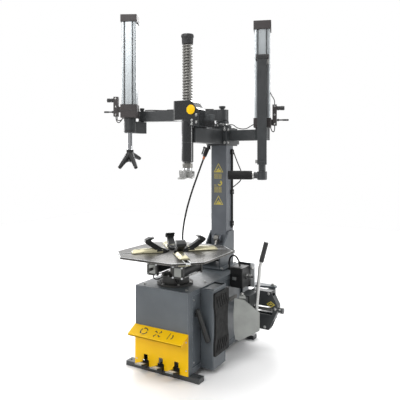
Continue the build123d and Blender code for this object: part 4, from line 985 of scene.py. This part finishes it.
# ---------------- bead breaker, gun
def make_breaker_details():
    yoke_front = 0.201
    bolt_set("yoke_bolts", [((0.432, yoke_front, 0.385), -Y_AXIS), ((0.405, yoke_front, 0.164), -Y_AXIS),
        ((0.477, yoke_front, 0.292), -Y_AXIS)], 0.0085, "breaker_arm")
    lathe("rod_end_nut", [(0, 0), (0.015, 0), (0.0165, 0.002), (0.0165, 0.012), (0.0205, 0.014), (0.0205, 0.03),
        (0.0192, 0.031)], (0.5249, 0.228, 0.279), -X_AXIS, STEEL, "breaker_arm", steps=6, bevel=0.001)
    mark = bmesh.new()
    centre = Vector((0.448, yoke_front - 0.0002, 0.318))
    outer = [(-0.03, 0), (0, -0.0195), (0.03, 0), (0, 0.0195)]
    inner = [(x * 0.72, z * 0.72) for x, z in outer]
    wheel = [(-0.0105, -0.003), (0.0105, -0.003), (0.0105, 0.0015), (-0.0105, 0.0015)]
    blade = [(-0.003, 0.0015), (0.003, 0.0015), (0.0015, 0.009), (-0.0015, 0.009)]
    for outline in [*framed(outer, inner), wheel, blade]:
        add_prism(mark, outline, centre, X_AXIS, Z_AXIS, 0.0005)
    place("yoke_pictogram", mark, STICKER, "breaker_arm")
    pin = joint_place["blade_swivel"]
    bolt_set("blade_pin_nuts", [((pin.x, pin.y, high("blade").z - 0.0005), Z_AXIS)], 0.011, "blade")
    foot = Vector((0.4059, 0.0552, 0.268))
    knee = foot + Vector((0.022, 0.012, 0.322))
    end = knee + Vector((0.034, 0.02, 0.15))
    way = (end - knee).normalized()
    start = along(knee, end, 0.19)
    reach = (end - start).length + (end - knee).length * 0.035
    profile = [(0.0112, 0), (0.0152, 0.001)]
    for k in range(6):
        s = 0.01 + k * (reach - 0.024) / 6
        profile += [(0.0155, s), (0.0155, s + 0.012), (0.0152, s + 0.014)]
    profile += [(0.0155, reach - 0.004), (0.011, reach), (0, reach)]
    lathe("blade_grip", profile, start, way, PLASTIC, "blade", steps=28)
    lathe("blade_handle_weld", [(0.0112, 0), (0.015, 0.002), (0.015, 0.006), (0.0112, 0.01)], foot, (knee - foot),
        STEEL, "blade", steps=24)
    bolt_set("hinge_nuts", [((0.395, 0.372, 0.402), Z_AXIS)], 0.0125, "cabinet")


def make_gun_details():
    exit_point = Vector((-0.106, 0.284, 1.264))
    low_end = Vector((-0.1, 0.288, 1.284))
    top = Vector((-0.082, 0.302, 1.346))
    way = (exit_point - low_end).normalized()
    lathe("gun_connector", [(0.0082, 0), (0.0096, 0.001), (0.0096, 0.009), (0.0086, 0.01), (0.0086, 0.0205)],
        low_end + way * 0.0005, way, COPPER, "column", steps=20)
    grip = bmesh.new()
    for k in range(5):
        f = 0.22 + 0.14 * k
        radius = 0.017 - 0.003 * f
        add_lathe(grip, [(radius - 0.0006, -0.003), (radius + 0.0009, -0.002), (radius + 0.0009, 0.002),
            (radius - 0.0006, 0.003)], along(top, low_end, f), low_end - top, 28)
    place("gun_grip_ribs", grip, RUBBER, "column", smooth=True)


def make_floor():
    shape = bmesh.new()
    bmesh.ops.create_grid(shape, x_segments=1, y_segments=1, size=6)
    mesh = bpy.data.meshes.new("floor")
    shape.to_mesh(mesh)
    shape.free()
    floor = link("floor", mesh)
    floor.location.z = -0.0005
    mesh.materials.append(FLOOR)


for make in (make_spring, make_cap, make_housing_details, make_mount_head_details, make_column_details,
             make_head_details, make_right_details, make_left_details, make_profile_lines, make_presser_pads,
             make_jaws, make_table_details, make_clamp_details, make_cabinet_details, make_pictograms,
             make_pedal_details, make_air_unit, make_breaker_details, make_gun_details, make_floor):
    make()
